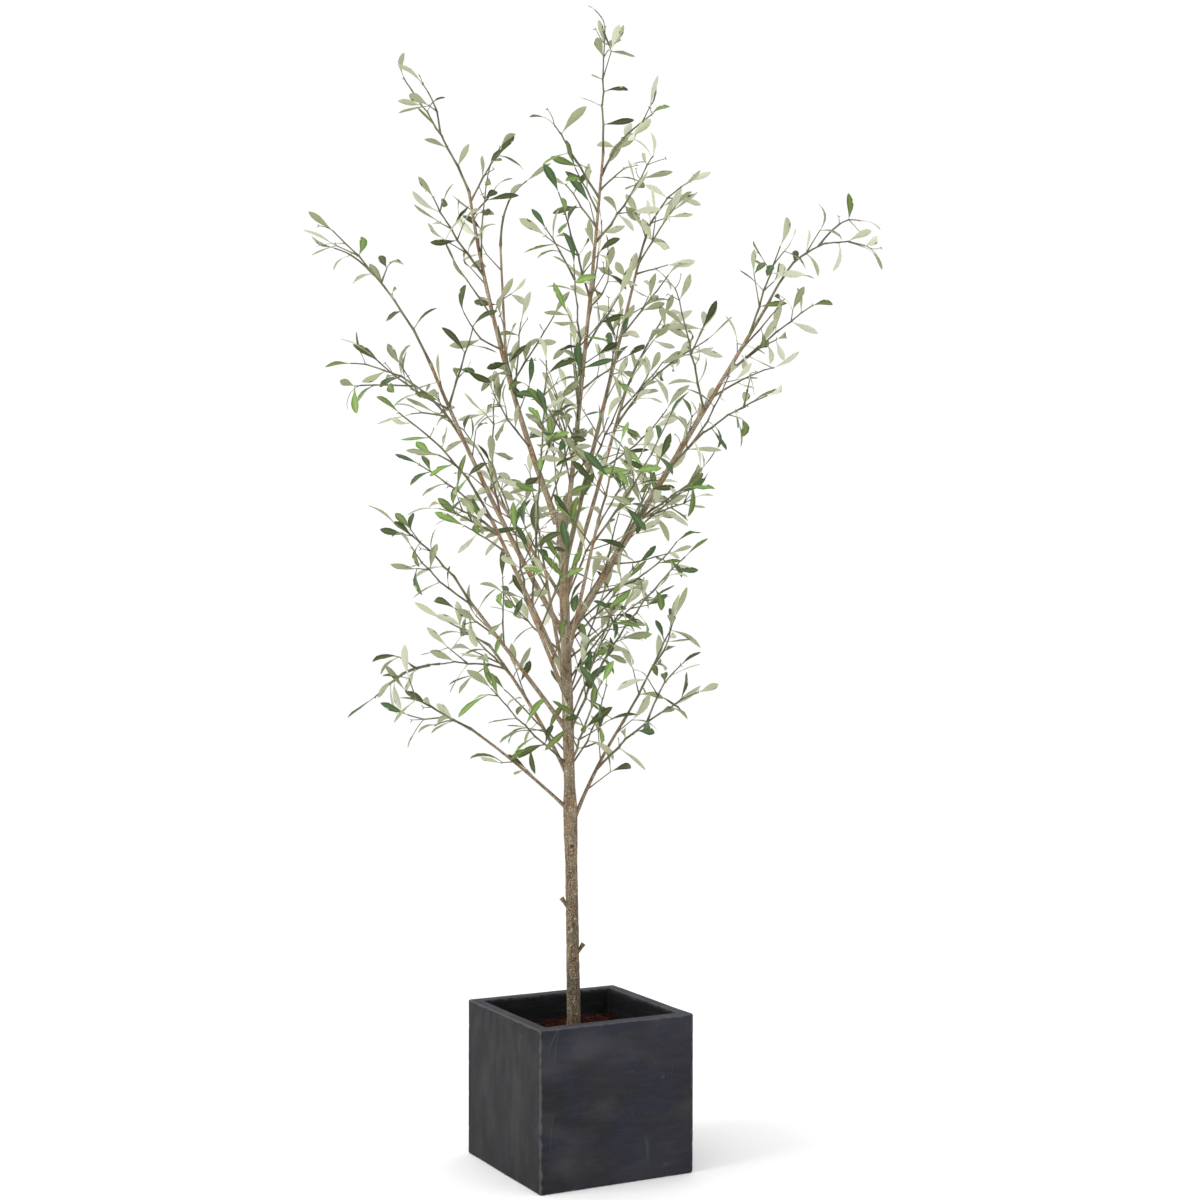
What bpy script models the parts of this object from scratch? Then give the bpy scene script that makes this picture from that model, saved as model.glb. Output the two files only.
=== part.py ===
"""Artificial olive tree in a square fibre-clay planter, as solids for its planter, filling, trunk,
boughs and foliage masses.

Metres, +Z up. The origin is the centre of the planter's flat underside, and the planter's sides run along
X and Y. The crown is measured in bearings of its own: 0 degrees runs to the right along the crown's broad
side, 90 degrees away behind it, and CROWN_TURN turns that broad side against the planter.
"""

import math
import random
from dataclasses import dataclass

import bmesh
import bpy
import numpy as np
from mathutils import Matrix, Vector, noise

# ---------------------------------------------------------------- driving dimensions
GAP = 0.0003                     # clearance kept between neighbouring solids
TINY = 0.000001                  # stands in for a length of nothing where one divides

PLANTER_SIDE = 0.300
PLANTER_HEIGHT = 0.280
PLANTER_WALL = 0.020
PLANTER_FLOOR = 0.020
PLANTER_EDGE = 0.003             # bevel on the outer edges of the planter

SOIL_LEVEL = 0.232               # height of the filling at the trunk's foot
SOIL_SWELL = 0.006               # how far the filling's top rises and falls
SOIL_FLAT = 0.030                # radius of the level patch that the trunk stands on
SOIL_HUMPS = 22.0                # humps to the metre, roughly
SOIL_STEPS = 11

CROWN_TURN = math.radians(-27.6)

TRUNK_FOOT = (-0.009, 0.0)       # the trunk's foot, right and away from the planter's centre
TRUNK_TOP = 1.164                # height of the flat cut at the fork
TRUNK_LEAN = -0.022              # how far the top stands to the right of the foot
TRUNK_BOW = 0.003
TRUNK_GIRTH = (                  # height above the underside, radius
    (SOIL_LEVEL, 0.0138),
    (0.250, 0.0123),
    (0.470, 0.0110),
    (0.545, 0.0109),
    (0.590, 0.0125),
    (0.640, 0.0125),
    (0.673, 0.0099),
    (0.790, 0.0102),
    (0.905, 0.0093),
    (1.050, 0.0085),
    (1.110, 0.0090),
    (1.150, 0.0117),
    (TRUNK_TOP, 0.0120),
)
TRUNK_SUNK = 0.004               # length trimmed off the trunk's foot to leave it level
TRUNK_RINGS = 14
STUBS = (("left", 0.462, 180.0), ("right", 0.378, 0.0))   # cut side shoots: name, height, bearing
STUB_RADIUS = 0.0048
STUB_LENGTH = 0.021              # from the trunk's axis to the cut
STUB_TILT = math.radians(40.0)   # up from level

TRUNK_ROUND = 4                  # bevel resolution of the trunk: 12 sides
BOUGH_RINGS = 9
BOUGH_ROUND = 2                  # bevel resolution of a bough: 8 sides
WELD = 0.00002                   # distance within which a tube's caps are welded to it
SPRAY_SIDES = 8
SPRAY_RING_PITCH = 0.042         # spacing of the rings along a foliage mass
SPRAY_TIP = 0.006                # radius left at a foliage mass's tip
SPRAY_LUMP = 0.24                # how far the lumps swell and shrink a mass
SPRAY_REFERENCE = (0.31, 0.17, 0.93)   # a direction that no axis follows, from which angles are counted
SAMPLE_PITCH = 0.010             # spacing of the points that keep masses apart
MASS_SHARE = 0.46                # share of the room between two masses that each may fill
LIMB_SHARE = 0.85                # share of the room beside a bough that a mass may fill
LEAST_FACING = 0.05              # cosine below which a neighbour lies too far to the side to matter

BARK = (0.30, 0.22, 0.15)
BOUGH_BARK = (0.36, 0.26, 0.19)
CHARCOAL = (0.045, 0.047, 0.052)
COIR = (0.075, 0.030, 0.022)
LEAF_TINTS = ((0.10, 0.19, 0.06), (0.15, 0.27, 0.10), (0.28, 0.36, 0.20), (0.40, 0.45, 0.30))


@dataclass(frozen=True)
class Limb:
    """A limb's axis: where it leaves its carrier, and how far it goes out and up."""

    name: str
    carrier: str
    at: float          # height on the trunk, or share of another carrier's length
    bearing: float     # degrees in the crown's bearings
    reach: float
    rise: float
    bow: float         # height of the axis above its chord at mid-length
    foot: float        # a bough's foot radius, or a mass's neck radius
    end: float         # a bough's tip radius, or a mass's girth radius
    aside: float = 0.0 # how far the foot stands to the right of the carrier's axis


BOUGHS = (
    Limb("bough_high_left", "trunk", 1.146, 163, 0.169, 0.604, -0.018, 0.0056, 0.0026, -0.008),
    Limb("bough_leader", "trunk", 1.146, -17, 0.068, 0.658, -0.002, 0.0048, 0.0022, 0.009),
    Limb("bough_high_left_fork", "bough_high_left", 0.47, 99, 0.101, 0.240, -0.003, 0.0028, 0.0020),
    Limb("bough_right_inner", "trunk", 1.060, 54, 0.234, 0.582, 0.0, 0.0050, 0.0024),
    Limb("bough_right_back", "trunk", 1.010, 64, 0.255, 0.395, -0.003, 0.0045, 0.0026),
    Limb("bough_long_right", "trunk", 0.940, 9, 0.371, 0.605, -0.001, 0.0078, 0.0027),
    Limb("bough_upper_left", "trunk", 0.940, -151, 0.265, 0.477, -0.010, 0.0052, 0.0028),
    Limb("bough_left_back", "trunk", 1.004, 128, 0.229, 0.211, 0.003, 0.0034, 0.0022),
    Limb("bough_mid_left", "trunk", 0.862, -124, 0.222, 0.281, 0.0, 0.0048, 0.0029),
    Limb("bough_lower_left", "trunk", 0.772, -160, 0.184, 0.234, 0.001, 0.0043, 0.0026),
    Limb("bough_low_left_back", "trunk", 0.686, 139, 0.200, 0.238, 0.010, 0.0036, 0.0024),
    Limb("bough_lowest_left", "trunk", 0.629, -157, 0.187, 0.152, 0.004, 0.0031, 0.0020),
    Limb("bough_lowest_right", "trunk", 0.598, 36, 0.118, 0.188, 0.007, 0.0038, 0.0024),
    Limb("bough_front_left", "trunk", 0.826, -104, 0.268, 0.182, 0.002, 0.0042, 0.0024),
    Limb("bough_front_right", "trunk", 0.892, -78, 0.276, 0.248, 0.003, 0.0042, 0.0024),
    Limb("bough_back_left", "trunk", 0.840, 100, 0.274, 0.226, -0.004, 0.0042, 0.0024),
    Limb("bough_back_right", "trunk", 0.928, 68, 0.291, 0.205, -0.002, 0.0042, 0.0024),
)

MASSES = (
    Limb("foliage_crown_tip", "bough_leader", 1.00, -55, 0.012, 0.270, 0.006, 0.0020, 0.042),
    Limb("foliage_tip_right", "bough_leader", 0.94, 24, 0.143, 0.140, 0.020, 0.0015, 0.040),
    Limb("foliage_tip_left", "bough_leader", 0.88, -141, 0.130, 0.151, -0.001, 0.0015, 0.042),
    Limb("foliage_leader_upper_right", "bough_leader", 0.76, 52, 0.197, 0.225, -0.012, 0.0016, 0.046),
    Limb("foliage_leader_upper_left", "bough_leader", 0.61, -117, 0.143, 0.206, -0.001, 0.0018, 0.044),
    Limb("foliage_leader_back", "bough_leader", 0.52, 82, 0.232, 0.269, -0.004, 0.0020, 0.052),
    Limb("foliage_leader_front_right", "bough_leader", 0.47, -30, 0.100, 0.125, 0.002, 0.0020, 0.044),
    Limb("foliage_leader_front", "bough_leader", 0.40, -96, 0.163, 0.212, 0.001, 0.0022, 0.044),
    Limb("foliage_high_left_tip", "bough_high_left", 1.00, 162, 0.159, 0.252, 0.010, 0.0022, 0.040),
    Limb("foliage_high_left_side", "bough_high_left", 0.75, -144, 0.131, 0.170, -0.009, 0.0018, 0.042),
    Limb("foliage_high_left_fork", "bough_high_left_fork", 1.00, 24, 0.097, 0.151, 0.032, 0.0018, 0.040),
    Limb("foliage_right_inner_end", "bough_right_inner", 1.00, 33, 0.164, 0.191, 0.034, 0.0022, 0.046),
    Limb("foliage_right_back_end", "bough_right_back", 1.00, 39, 0.127, 0.191, 0.006, 0.0022, 0.050),
    Limb("foliage_right_back_side", "bough_right_back", 0.82, -5, 0.222, 0.182, 0.027, 0.0020, 0.048),
    Limb("foliage_long_right_end", "bough_long_right", 1.00, 20, 0.261, 0.101, 0.069, 0.0024, 0.036),
    Limb("foliage_long_right_up", "bough_long_right", 0.91, -52, 0.107, 0.188, 0.004, 0.0020, 0.040),
    Limb("foliage_long_right_side", "bough_long_right", 0.78, 29, 0.234, 0.170, 0.005, 0.0022, 0.044),
    Limb("foliage_long_right_inner", "bough_long_right", 0.68, 115, 0.132, 0.279, 0.003, 0.0022, 0.046),
    Limb("foliage_long_right_low", "bough_long_right", 0.50, -27, 0.241, 0.138, 0.023, 0.0026, 0.044),
    Limb("foliage_long_right_foot", "bough_long_right", 0.35, -54, 0.223, 0.092, -0.002, 0.0026, 0.042),
    Limb("foliage_upper_left_end", "bough_upper_left", 1.00, -155, 0.214, 0.243, 0.021, 0.0024, 0.056),
    Limb("foliage_upper_left_side", "bough_upper_left", 0.70, 167, 0.269, 0.161, 0.049, 0.0024, 0.046),
    Limb("foliage_upper_left_front", "bough_upper_left", 0.85, -65, 0.153, 0.158, 0.002, 0.0020, 0.042),
    Limb("foliage_left_back_end", "bough_left_back", 1.00, 88, 0.070, 0.219, 0.0, 0.0018, 0.050),
    Limb("foliage_mid_left_end", "bough_mid_left", 1.00, -152, 0.214, 0.196, 0.025, 0.0024, 0.050),
    Limb("foliage_mid_left_front", "bough_mid_left", 0.92, -127, 0.194, 0.050, 0.012, 0.0020, 0.044),
    Limb("foliage_mid_left_riser", "bough_mid_left", 0.48, -81, 0.217, 0.449, -0.001, 0.0024, 0.050),
    Limb("foliage_lower_left_end", "bough_lower_left", 1.00, -154, 0.180, 0.152, 0.019, 0.0022, 0.048),
    Limb("foliage_low_left_back_end", "bough_low_left_back", 1.00, 158, 0.137, 0.069, 0.0, 0.0020, 0.044),
    Limb("foliage_left_arch_near", "bough_low_left_back", 0.80, -162, 0.145, 0.009, 0.008, 0.0018, 0.034),
    Limb("foliage_left_arch_far", "foliage_left_arch_near", 1.00, -152, 0.130, -0.100, 0.023, 0.0050, 0.040),
    Limb("foliage_lowest_left_end", "bough_lowest_left", 1.00, -158, 0.160, 0.094, -0.003, 0.0017, 0.036),
    Limb("foliage_lowest_right_end", "bough_lowest_right", 1.00, 38, 0.146, 0.228, -0.005, 0.0020, 0.044),
    Limb("foliage_lowest_right_side", "bough_lowest_right", 0.53, -27, 0.245, 0.163, 0.017, 0.0020, 0.042),
    Limb("foliage_trunk_right_low", "trunk", 0.706, -73, 0.230, 0.192, 0.0, 0.0030, 0.046),
    Limb("foliage_trunk_right_mid", "trunk", 0.764, -40, 0.300, 0.345, 0.030, 0.0030, 0.050),
    Limb("foliage_front_left", "bough_front_left", 1.00, -97, 0.141, 0.143, 0.001, 0.0020, 0.054),
    Limb("foliage_front_right", "bough_front_right", 1.00, -68, 0.119, 0.148, 0.002, 0.0020, 0.054),
    Limb("foliage_back_left", "bough_back_left", 1.00, 105, 0.155, 0.232, 0.0, 0.0020, 0.062),
    Limb("foliage_back_right", "bough_back_right", 1.00, 60, 0.173, 0.195, -0.003, 0.0020, 0.062),
)


# ---------------------------------------------------------------- scene and materials
def clear_scene():
    """Remove every object that the file opened with."""
    for item in list(bpy.data.objects):
        bpy.data.objects.remove(item, do_unlink=True)


def new_collection(name):
    collection = bpy.data.collections.new(name)
    bpy.context.scene.collection.children.link(collection)
    return collection


def new_material(name, colour, roughness):
    """A plain Principled material in one colour."""
    material = bpy.data.materials.new(name)
    material.use_nodes = True
    shader = material.node_tree.nodes["Principled BSDF"]
    shader.inputs["Base Color"].default_value = (*colour, 1.0)
    shader.inputs["Roughness"].default_value = roughness
    shader.inputs["Metallic"].default_value = 0.0
    material.diffuse_color = (*colour, 1.0)
    return material


def add_object(name, mesh, collection, parent=None, material=None):
    item = bpy.data.objects.new(name, mesh)
    collection.objects.link(item)
    item.parent = parent
    if material:
        mesh.materials.append(material)
    return item


def make_cutter(item):
    """Mark an object as a cutter, which is not part of the model."""
    item.hide_render = True
    item.display_type = "WIRE"
    return item


def cut(item, cutter, operation="DIFFERENCE"):
    modifier = item.modifiers.new(operation.title(), "BOOLEAN")
    modifier.operation = operation
    modifier.solver = "EXACT"
    modifier.object = cutter


# ---------------------------------------------------------------- limb axes
class Axis:
    """A limb's centre line: a straight chord with a parabolic bow, and a radius along it."""

    def __init__(self, start, chord, bow, girth):
        """girth is a list of (share of the length, radius) pairs."""
        self.start = np.array(start, dtype=float)
        self.chord = np.array(chord, dtype=float)
        self.shares, self.radii = zip(*girth)
        self.length = float(np.linalg.norm(self.chord))
        level = np.array((self.chord[0], self.chord[1], 0.0))
        reach = max(float(np.linalg.norm(level)), TINY)
        rise = self.chord[2]
        upward = np.array((-level[0] * rise / reach, -level[1] * rise / reach, reach)) / self.length
        self.bow = bow * upward

    def point(self, share):
        return self.start + share * self.chord + 4.0 * share * (1.0 - share) * self.bow

    def direction(self, share):
        step = self.chord + 4.0 * (1.0 - 2.0 * share) * self.bow
        return step / np.linalg.norm(step)

    def radius(self, share):
        return float(np.interp(share, self.shares, self.radii))

    def samples(self):
        """Points along the axis, about SAMPLE_PITCH apart, each with the limb's radius there."""
        count = max(3, round(self.length / SAMPLE_PITCH))
        shares = np.linspace(0.0, 1.0, count)
        return [(self.point(share), self.radius(share)) for share in shares]


def trunk_axis():
    """The trunk leans a little and carries its girth as a list of heights and radii."""
    height = TRUNK_TOP - SOIL_LEVEL
    girth = [((level - SOIL_LEVEL) / height, radius) for level, radius in TRUNK_GIRTH]
    return Axis((*TRUNK_FOOT, SOIL_LEVEL), (TRUNK_LEAN, 0.0, height), TRUNK_BOW, girth)


def limb_axis(limb, axes):
    """Place a limb on its carrier. A bough tapers evenly; a mass's axis has no radius of its own."""
    carrier = axes[limb.carrier]
    share = limb.at
    if limb.carrier == "trunk":
        share = (limb.at - SOIL_LEVEL) / (TRUNK_TOP - SOIL_LEVEL)
    start = carrier.point(share) + np.array((limb.aside, 0.0, 0.0))
    angle = math.radians(limb.bearing)
    chord = (limb.reach * math.cos(angle), limb.reach * math.sin(angle), limb.rise)
    end = limb.end if limb.name.startswith("bough") else 0.0
    foot = limb.foot if limb.name.startswith("bough") else 0.0
    return Axis(start, chord, limb.bow, [(0.0, foot), (1.0, end)])


# ---------------------------------------------------------------- planter and filling
def box_mesh(name, size, low_z):
    """A box centred on the Z axis that stands on low_z."""
    shape = bmesh.new()
    bmesh.ops.create_cube(shape, size=1.0)
    bmesh.ops.scale(shape, vec=size, verts=shape.verts)
    bmesh.ops.translate(shape, vec=(0.0, 0.0, low_z + size[2] / 2), verts=shape.verts)
    mesh = bpy.data.meshes.new(name)
    shape.to_mesh(mesh)
    shape.free()
    return mesh


def build_planter(parts, cutters):
    """A square tub: a box with slightly rounded edges, hollowed from above."""
    inside = PLANTER_SIDE - 2 * PLANTER_WALL
    outer = box_mesh("planter", (PLANTER_SIDE, PLANTER_SIDE, PLANTER_HEIGHT), 0.0)
    hollow = box_mesh("planter_hollow", (inside, inside, PLANTER_HEIGHT), PLANTER_FLOOR)
    planter = add_object("planter", outer, parts, material=new_material("fibre_clay", CHARCOAL, 0.75))
    bevel = planter.modifiers.new("Edges", "BEVEL")
    bevel.width = PLANTER_EDGE
    bevel.segments = 2
    cut(planter, make_cutter(add_object("planter_hollow", hollow, cutters)))


def soil_height(x, y):
    """The filling's top: gentle humps that fade to a level patch round the trunk's foot."""
    foot = Vector(TRUNK_FOOT)
    foot.rotate(Matrix.Rotation(CROWN_TURN, 2))
    away = math.hypot(x - foot.x, y - foot.y)
    fade = min(1.0, max(0.0, (away - SOIL_FLAT) / SOIL_FLAT))
    hump = noise.noise(Vector((x, y, 0.0)) * SOIL_HUMPS)
    return SOIL_LEVEL + SOIL_SWELL * fade * hump


def build_soil(parts):
    """The filling: a block that fits the planter, with an uneven top."""
    half = PLANTER_SIDE / 2 - PLANTER_WALL - GAP
    shape = bmesh.new()
    bmesh.ops.create_grid(shape, x_segments=SOIL_STEPS, y_segments=SOIL_STEPS, size=half)
    top = list(shape.verts)
    added = bmesh.ops.extrude_face_region(shape, geom=list(shape.faces))["geom"]
    floor = [item for item in added if isinstance(item, bmesh.types.BMVert)]
    for vertex in top:
        vertex.co.z = soil_height(vertex.co.x, vertex.co.y)
    for vertex in floor:
        vertex.co.z = PLANTER_FLOOR + GAP
    bmesh.ops.recalc_face_normals(shape, faces=shape.faces)
    mesh = bpy.data.meshes.new("soil")
    shape.to_mesh(mesh)
    shape.free()
    add_object("soil", mesh, parts, material=new_material("coir", COIR, 0.95))


# ---------------------------------------------------------------- trunk and boughs
def tube_object(name, points, radii, resolution, collection, parent):
    """A round tube along a line of points, as a closed mesh made from a bevelled curve."""
    curve = bpy.data.curves.new(name, "CURVE")
    curve.dimensions = "3D"
    curve.bevel_depth = 1.0
    curve.bevel_resolution = resolution
    curve.use_fill_caps = True
    spline = curve.splines.new("POLY")
    spline.points.add(len(points) - 1)
    for knot, point, radius in zip(spline.points, points, radii):
        knot.co = (*point, 1.0)
        knot.radius = radius
    guide = bpy.data.objects.new(name, curve)
    bpy.context.scene.collection.objects.link(guide)
    evaluated = guide.evaluated_get(bpy.context.evaluated_depsgraph_get())
    mesh = bpy.data.meshes.new_from_object(evaluated)
    bpy.data.objects.remove(guide, do_unlink=True)
    bpy.data.curves.remove(curve)
    shape = bmesh.new()
    shape.from_mesh(mesh)
    bmesh.ops.remove_doubles(shape, verts=shape.verts, dist=WELD)
    bmesh.ops.recalc_face_normals(shape, faces=shape.faces)
    shape.to_mesh(mesh)
    shape.free()
    mesh.shade_smooth()
    mesh.name = name
    return add_object(name, mesh, collection, parent)


def axis_tube(name, axis, rings, resolution, collection, parent, grow=0.0, sunk=0.0):
    """A tube along a limb's axis.

    With grow it is that much thicker, and longer at both ends. With sunk it starts that much lower.
    """
    shares = np.linspace(0.0, 1.0, rings)
    if axis.shares[1:-1]:
        shares = np.unique(np.concatenate((shares, axis.shares)))
    points = [axis.point(share) for share in shares]
    radii = [axis.radius(share) + grow for share in shares]
    points[0] = points[0] - (grow + sunk) * axis.direction(0.0)
    points[-1] = points[-1] + grow * axis.direction(1.0)
    return tube_object(name, points, radii, resolution, collection, parent)


def build_trunk(axes, crown, parts, cutters, material):
    """The trunk, from its flat foot on the filling to the flat cut at the fork, with two cut shoots."""
    axis = axes["trunk"]
    trunk = axis_tube("trunk", axis, TRUNK_RINGS, TRUNK_ROUND, parts, crown, sunk=TRUNK_SUNK)
    trunk.data.materials.append(material)
    block = 4 * TRUNK_GIRTH[0][1]
    ground = box_mesh("ground", (block, block, block), SOIL_LEVEL + GAP - block)
    cut(trunk, make_cutter(add_object("ground", ground, cutters, crown)))
    for side, level, bearing in STUBS:
        root = axis.point((level - SOIL_LEVEL) / (TRUNK_TOP - SOIL_LEVEL))
        angle = math.radians(bearing)
        level_out = math.cos(STUB_TILT)
        out = np.array((math.cos(angle) * level_out, math.sin(angle) * level_out, math.sin(STUB_TILT)))
        points = [root, root + 0.5 * STUB_LENGTH * out, root + STUB_LENGTH * out]
        stub = tube_object("stub_" + side, points, [STUB_RADIUS] * 3, BOUGH_ROUND, cutters, crown)
        cut(trunk, make_cutter(stub), "UNION")


def build_boughs(axes, crown, parts, cutters, material):
    """Each bough tapers evenly, and is cut to fit against the limb that carries it."""
    for limb in BOUGHS:
        bough = axis_tube(limb.name, axes[limb.name], BOUGH_RINGS, BOUGH_ROUND, parts, crown)
        bough.data.materials.append(material)
        cut(bough, cutters.objects["clear_" + limb.carrier])


def build_clearances(axes, crown, cutters):
    """A cutter for the trunk and each bough that carries others: the limb itself, GAP clear of its flats."""
    carriers = {limb.carrier for limb in BOUGHS + MASSES} - {limb.name for limb in MASSES}
    for name in sorted(carriers):
        rings, resolution = (TRUNK_RINGS, TRUNK_ROUND) if name == "trunk" else (BOUGH_RINGS, BOUGH_ROUND)
        flat = 1.0 - math.cos(math.pi / (2 * (resolution + 2)))
        grow = GAP + flat * max(axes[name].radii)
        make_cutter(axis_tube("clear_" + name, axes[name], rings, resolution, cutters, crown, grow))


# ---------------------------------------------------------------- foliage masses
def mass_room(point, outward, others):
    """How far a mass may swell from a point of its axis along a direction.

    others holds (points, radii, share) of every other limb. Each point sets a plane square to the line
    from the axis to it, at that share of the free distance, and the mass stays on its own side.
    """
    room = math.inf
    for spots, radii, share in others:
        away = spots - point
        distance = np.maximum(np.linalg.norm(away, axis=1), TINY)
        facing = away @ outward / distance
        free = share * np.maximum(distance - radii - GAP, 0.0)
        ahead = facing > LEAST_FACING
        if ahead.any():
            room = min(room, float(np.min(free[ahead] / facing[ahead])))
    return room


def swell(share):
    """A mass's girth along its axis, from 0 at the neck through 1 to 0 at the tip."""
    return math.sin(math.pi * share ** 0.75) ** 0.5 if 0.0 < share < 1.0 else 0.0


def mass_radius(limb, share, angle, phase, room):
    """One point's distance from the axis: the girth with lumps, held to the room there is."""
    lumps = math.sin(3 * angle + 9 * share + phase) + math.sin(2 * angle - 14 * share + 2 * phase)
    wish = limb.end * swell(share) * (1.0 + SPRAY_LUMP * lumps / 2)
    floor = limb.foot + (SPRAY_TIP - limb.foot) * share
    return max(floor, min(wish, room))


def mass_mesh(limb, axis, others, grow=0.0):
    """A lofted, lumpy spindle round the mass's axis, closed by a small flat face at either end."""
    phase = random.Random(limb.name).uniform(0.0, math.tau)
    rings = max(6, round(axis.length / SPRAY_RING_PITCH) + 1)
    shape = bmesh.new()
    loops = []
    for share in np.linspace(0.0, 1.0, rings):
        forward = Vector(axis.direction(share))
        side = forward.cross(Vector(SPRAY_REFERENCE)).normalized()
        over = forward.cross(side)
        point = axis.point(share) + grow * np.array(forward) * (2 * round(share) - 1)
        loop = []
        for step in range(SPRAY_SIDES):
            angle = math.tau * step / SPRAY_SIDES
            outward = np.array(side * math.cos(angle) + over * math.sin(angle))
            room = mass_room(point, outward, others)
            reach = mass_radius(limb, share, angle, phase, room) + grow
            loop.append(shape.verts.new(point + reach * outward))
        loops.append(loop)
    for low, high in zip(loops, loops[1:]):
        for step in range(SPRAY_SIDES):
            after = (step + 1) % SPRAY_SIDES
            shape.faces.new((low[step], low[after], high[after], high[step]))
    shape.faces.new(loops[0])
    shape.faces.new(loops[-1])
    bmesh.ops.recalc_face_normals(shape, faces=shape.faces)
    mesh = bpy.data.meshes.new(limb.name)
    shape.to_mesh(mesh)
    shape.free()
    return mesh


def others_of(name, axes, leafy):
    """The points, radii and share of every limb but one, as mass_room reads them."""
    others = []
    for other, axis in axes.items():
        if other != name:
            spots, radii = zip(*axis.samples())
            others.append((np.array(spots), np.array(radii), MASS_SHARE if other in leafy else LIMB_SHARE))
    return others


def build_masses(axes, crown, parts, cutters):
    """Every spray of foliage as one closed solid, kept clear of the limbs and the other masses."""
    tints = [new_material(f"foliage_{number}", tint, 0.6) for number, tint in enumerate(LEAF_TINTS)]
    leafy = {limb.name: limb for limb in MASSES}
    for number, limb in enumerate(MASSES):
        mesh = mass_mesh(limb, axes[limb.name], others_of(limb.name, axes, leafy))
        mass = add_object(limb.name, mesh, parts, crown, tints[number % len(tints)])
        if limb.carrier in leafy:
            room = others_of(limb.carrier, axes, leafy)
            clear = mass_mesh(leafy[limb.carrier], axes[limb.carrier], room, GAP)
            make_cutter(add_object("clear_" + limb.carrier, clear, cutters, crown))
        cut(mass, cutters.objects["clear_" + limb.carrier])


def main():
    clear_scene()
    parts = new_collection("potted_olive_tree")
    cutters = new_collection("cutters")
    crown = bpy.data.objects.new("crown_bearings", None)
    parts.objects.link(crown)
    crown.rotation_euler.z = CROWN_TURN
    axes = {"trunk": trunk_axis()}
    for limb in BOUGHS + MASSES:
        axes[limb.name] = limb_axis(limb, axes)
    build_planter(parts, cutters)
    build_soil(parts)
    build_clearances(axes, crown, cutters)
    build_trunk(axes, crown, parts, cutters, new_material("trunk_bark", BARK, 0.85))
    build_boughs(axes, crown, parts, cutters, new_material("bough_bark", BOUGH_BARK, 0.85))
    build_masses(axes, crown, parts, cutters)


main()
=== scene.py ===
"""Finish of an artificial olive tree in a square fibre-clay planter.

Metres, +Z up, origin at the centre of the planter's flat underside. The crown is measured in bearings of
its own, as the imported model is: 0 degrees runs right along its broad side, 90 degrees away behind it, and
CROWN_TURN turns that broad side against the planter. Shapes of the crown are worked out in those bearings
and turned as the last thing before they become a mesh.
"""

from __future__ import annotations

import logging
import math
import zlib
from dataclasses import dataclass, field, replace
from enum import Enum
from functools import partial
from typing import Callable, Sequence

import bpy
import numpy as np
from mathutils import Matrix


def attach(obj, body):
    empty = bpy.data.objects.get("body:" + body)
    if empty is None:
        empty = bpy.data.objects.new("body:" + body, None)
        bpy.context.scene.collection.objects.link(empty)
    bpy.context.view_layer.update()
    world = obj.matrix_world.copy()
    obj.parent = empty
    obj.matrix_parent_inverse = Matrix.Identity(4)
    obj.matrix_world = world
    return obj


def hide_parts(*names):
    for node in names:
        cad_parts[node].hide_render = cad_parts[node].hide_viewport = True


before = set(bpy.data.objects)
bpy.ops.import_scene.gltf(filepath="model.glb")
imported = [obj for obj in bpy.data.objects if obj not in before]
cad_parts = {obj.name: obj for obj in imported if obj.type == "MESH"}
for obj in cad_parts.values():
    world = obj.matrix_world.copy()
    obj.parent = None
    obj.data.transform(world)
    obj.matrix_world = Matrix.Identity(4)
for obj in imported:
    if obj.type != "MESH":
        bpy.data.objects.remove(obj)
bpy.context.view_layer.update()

log = logging.getLogger("potted_olive_tree")

Array = np.ndarray
Random = np.random.Generator
Colour = tuple[float, float, float, float]
Faces = list[tuple[Array, "int | Array"]]       # corners of each face, and the material slots
Tree = bpy.types.NodeTree
Node = bpy.types.Node
Socket = bpy.types.NodeSocket
Material = bpy.types.Material
Piece = bpy.types.Object

TURN = math.tau
GAP = 0.0003                     # clearance that touching solids keep

# -------- sizes shared with the solids
PLANTER_SIDE = 0.300
PLANTER_HEIGHT = 0.280
PLANTER_WALL = 0.020
PLANTER_FLOOR = 0.020
SOIL_LEVEL = 0.232
CROWN_TURN = math.radians(-27.6)
TRUNK_FOOT = (-0.009, 0.0)
TRUNK_TOP = 1.164
TRUNK_LEAN = -0.022
TRUNK_BOW = 0.003
TRUNK_GIRTH = (                  # height above the underside, radius
    (SOIL_LEVEL, 0.0138),
    (0.250, 0.0123),
    (0.470, 0.0110),
    (0.545, 0.0109),
    (0.590, 0.0125),
    (0.640, 0.0125),
    (0.673, 0.0099),
    (0.790, 0.0102),
    (0.905, 0.0093),
    (1.050, 0.0085),
    (1.110, 0.0090),
    (1.150, 0.0117),
    (TRUNK_TOP, 0.0120),
)
STUBS = ((0.446, 180.0), (0.364, 0.0))   # cut side shoots: height, bearing
STUB_RADIUS = 0.0037
STUB_LENGTH = 0.034
STUB_TILT = math.radians(56.0)
HEART_BEGINS = (1.30, 1.50)      # heights over which the crown's dark upper heart sets in
HEART_ENDS = (1.72, 1.90)        # and ends
HEART_LEFT = (-0.42, -0.28)      # the same across, from its left side
HEART_RIGHT = (0.05, 0.20)       # to its right


class Zone(Enum):
    """A region of the crown, whose leaves and stems make one piece each."""

    TOP = "top"
    LEFT = "left"
    RIGHT = "right"
    MIDDLE = "middle"
    LOW = "low"
    BACK = "back"


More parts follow.
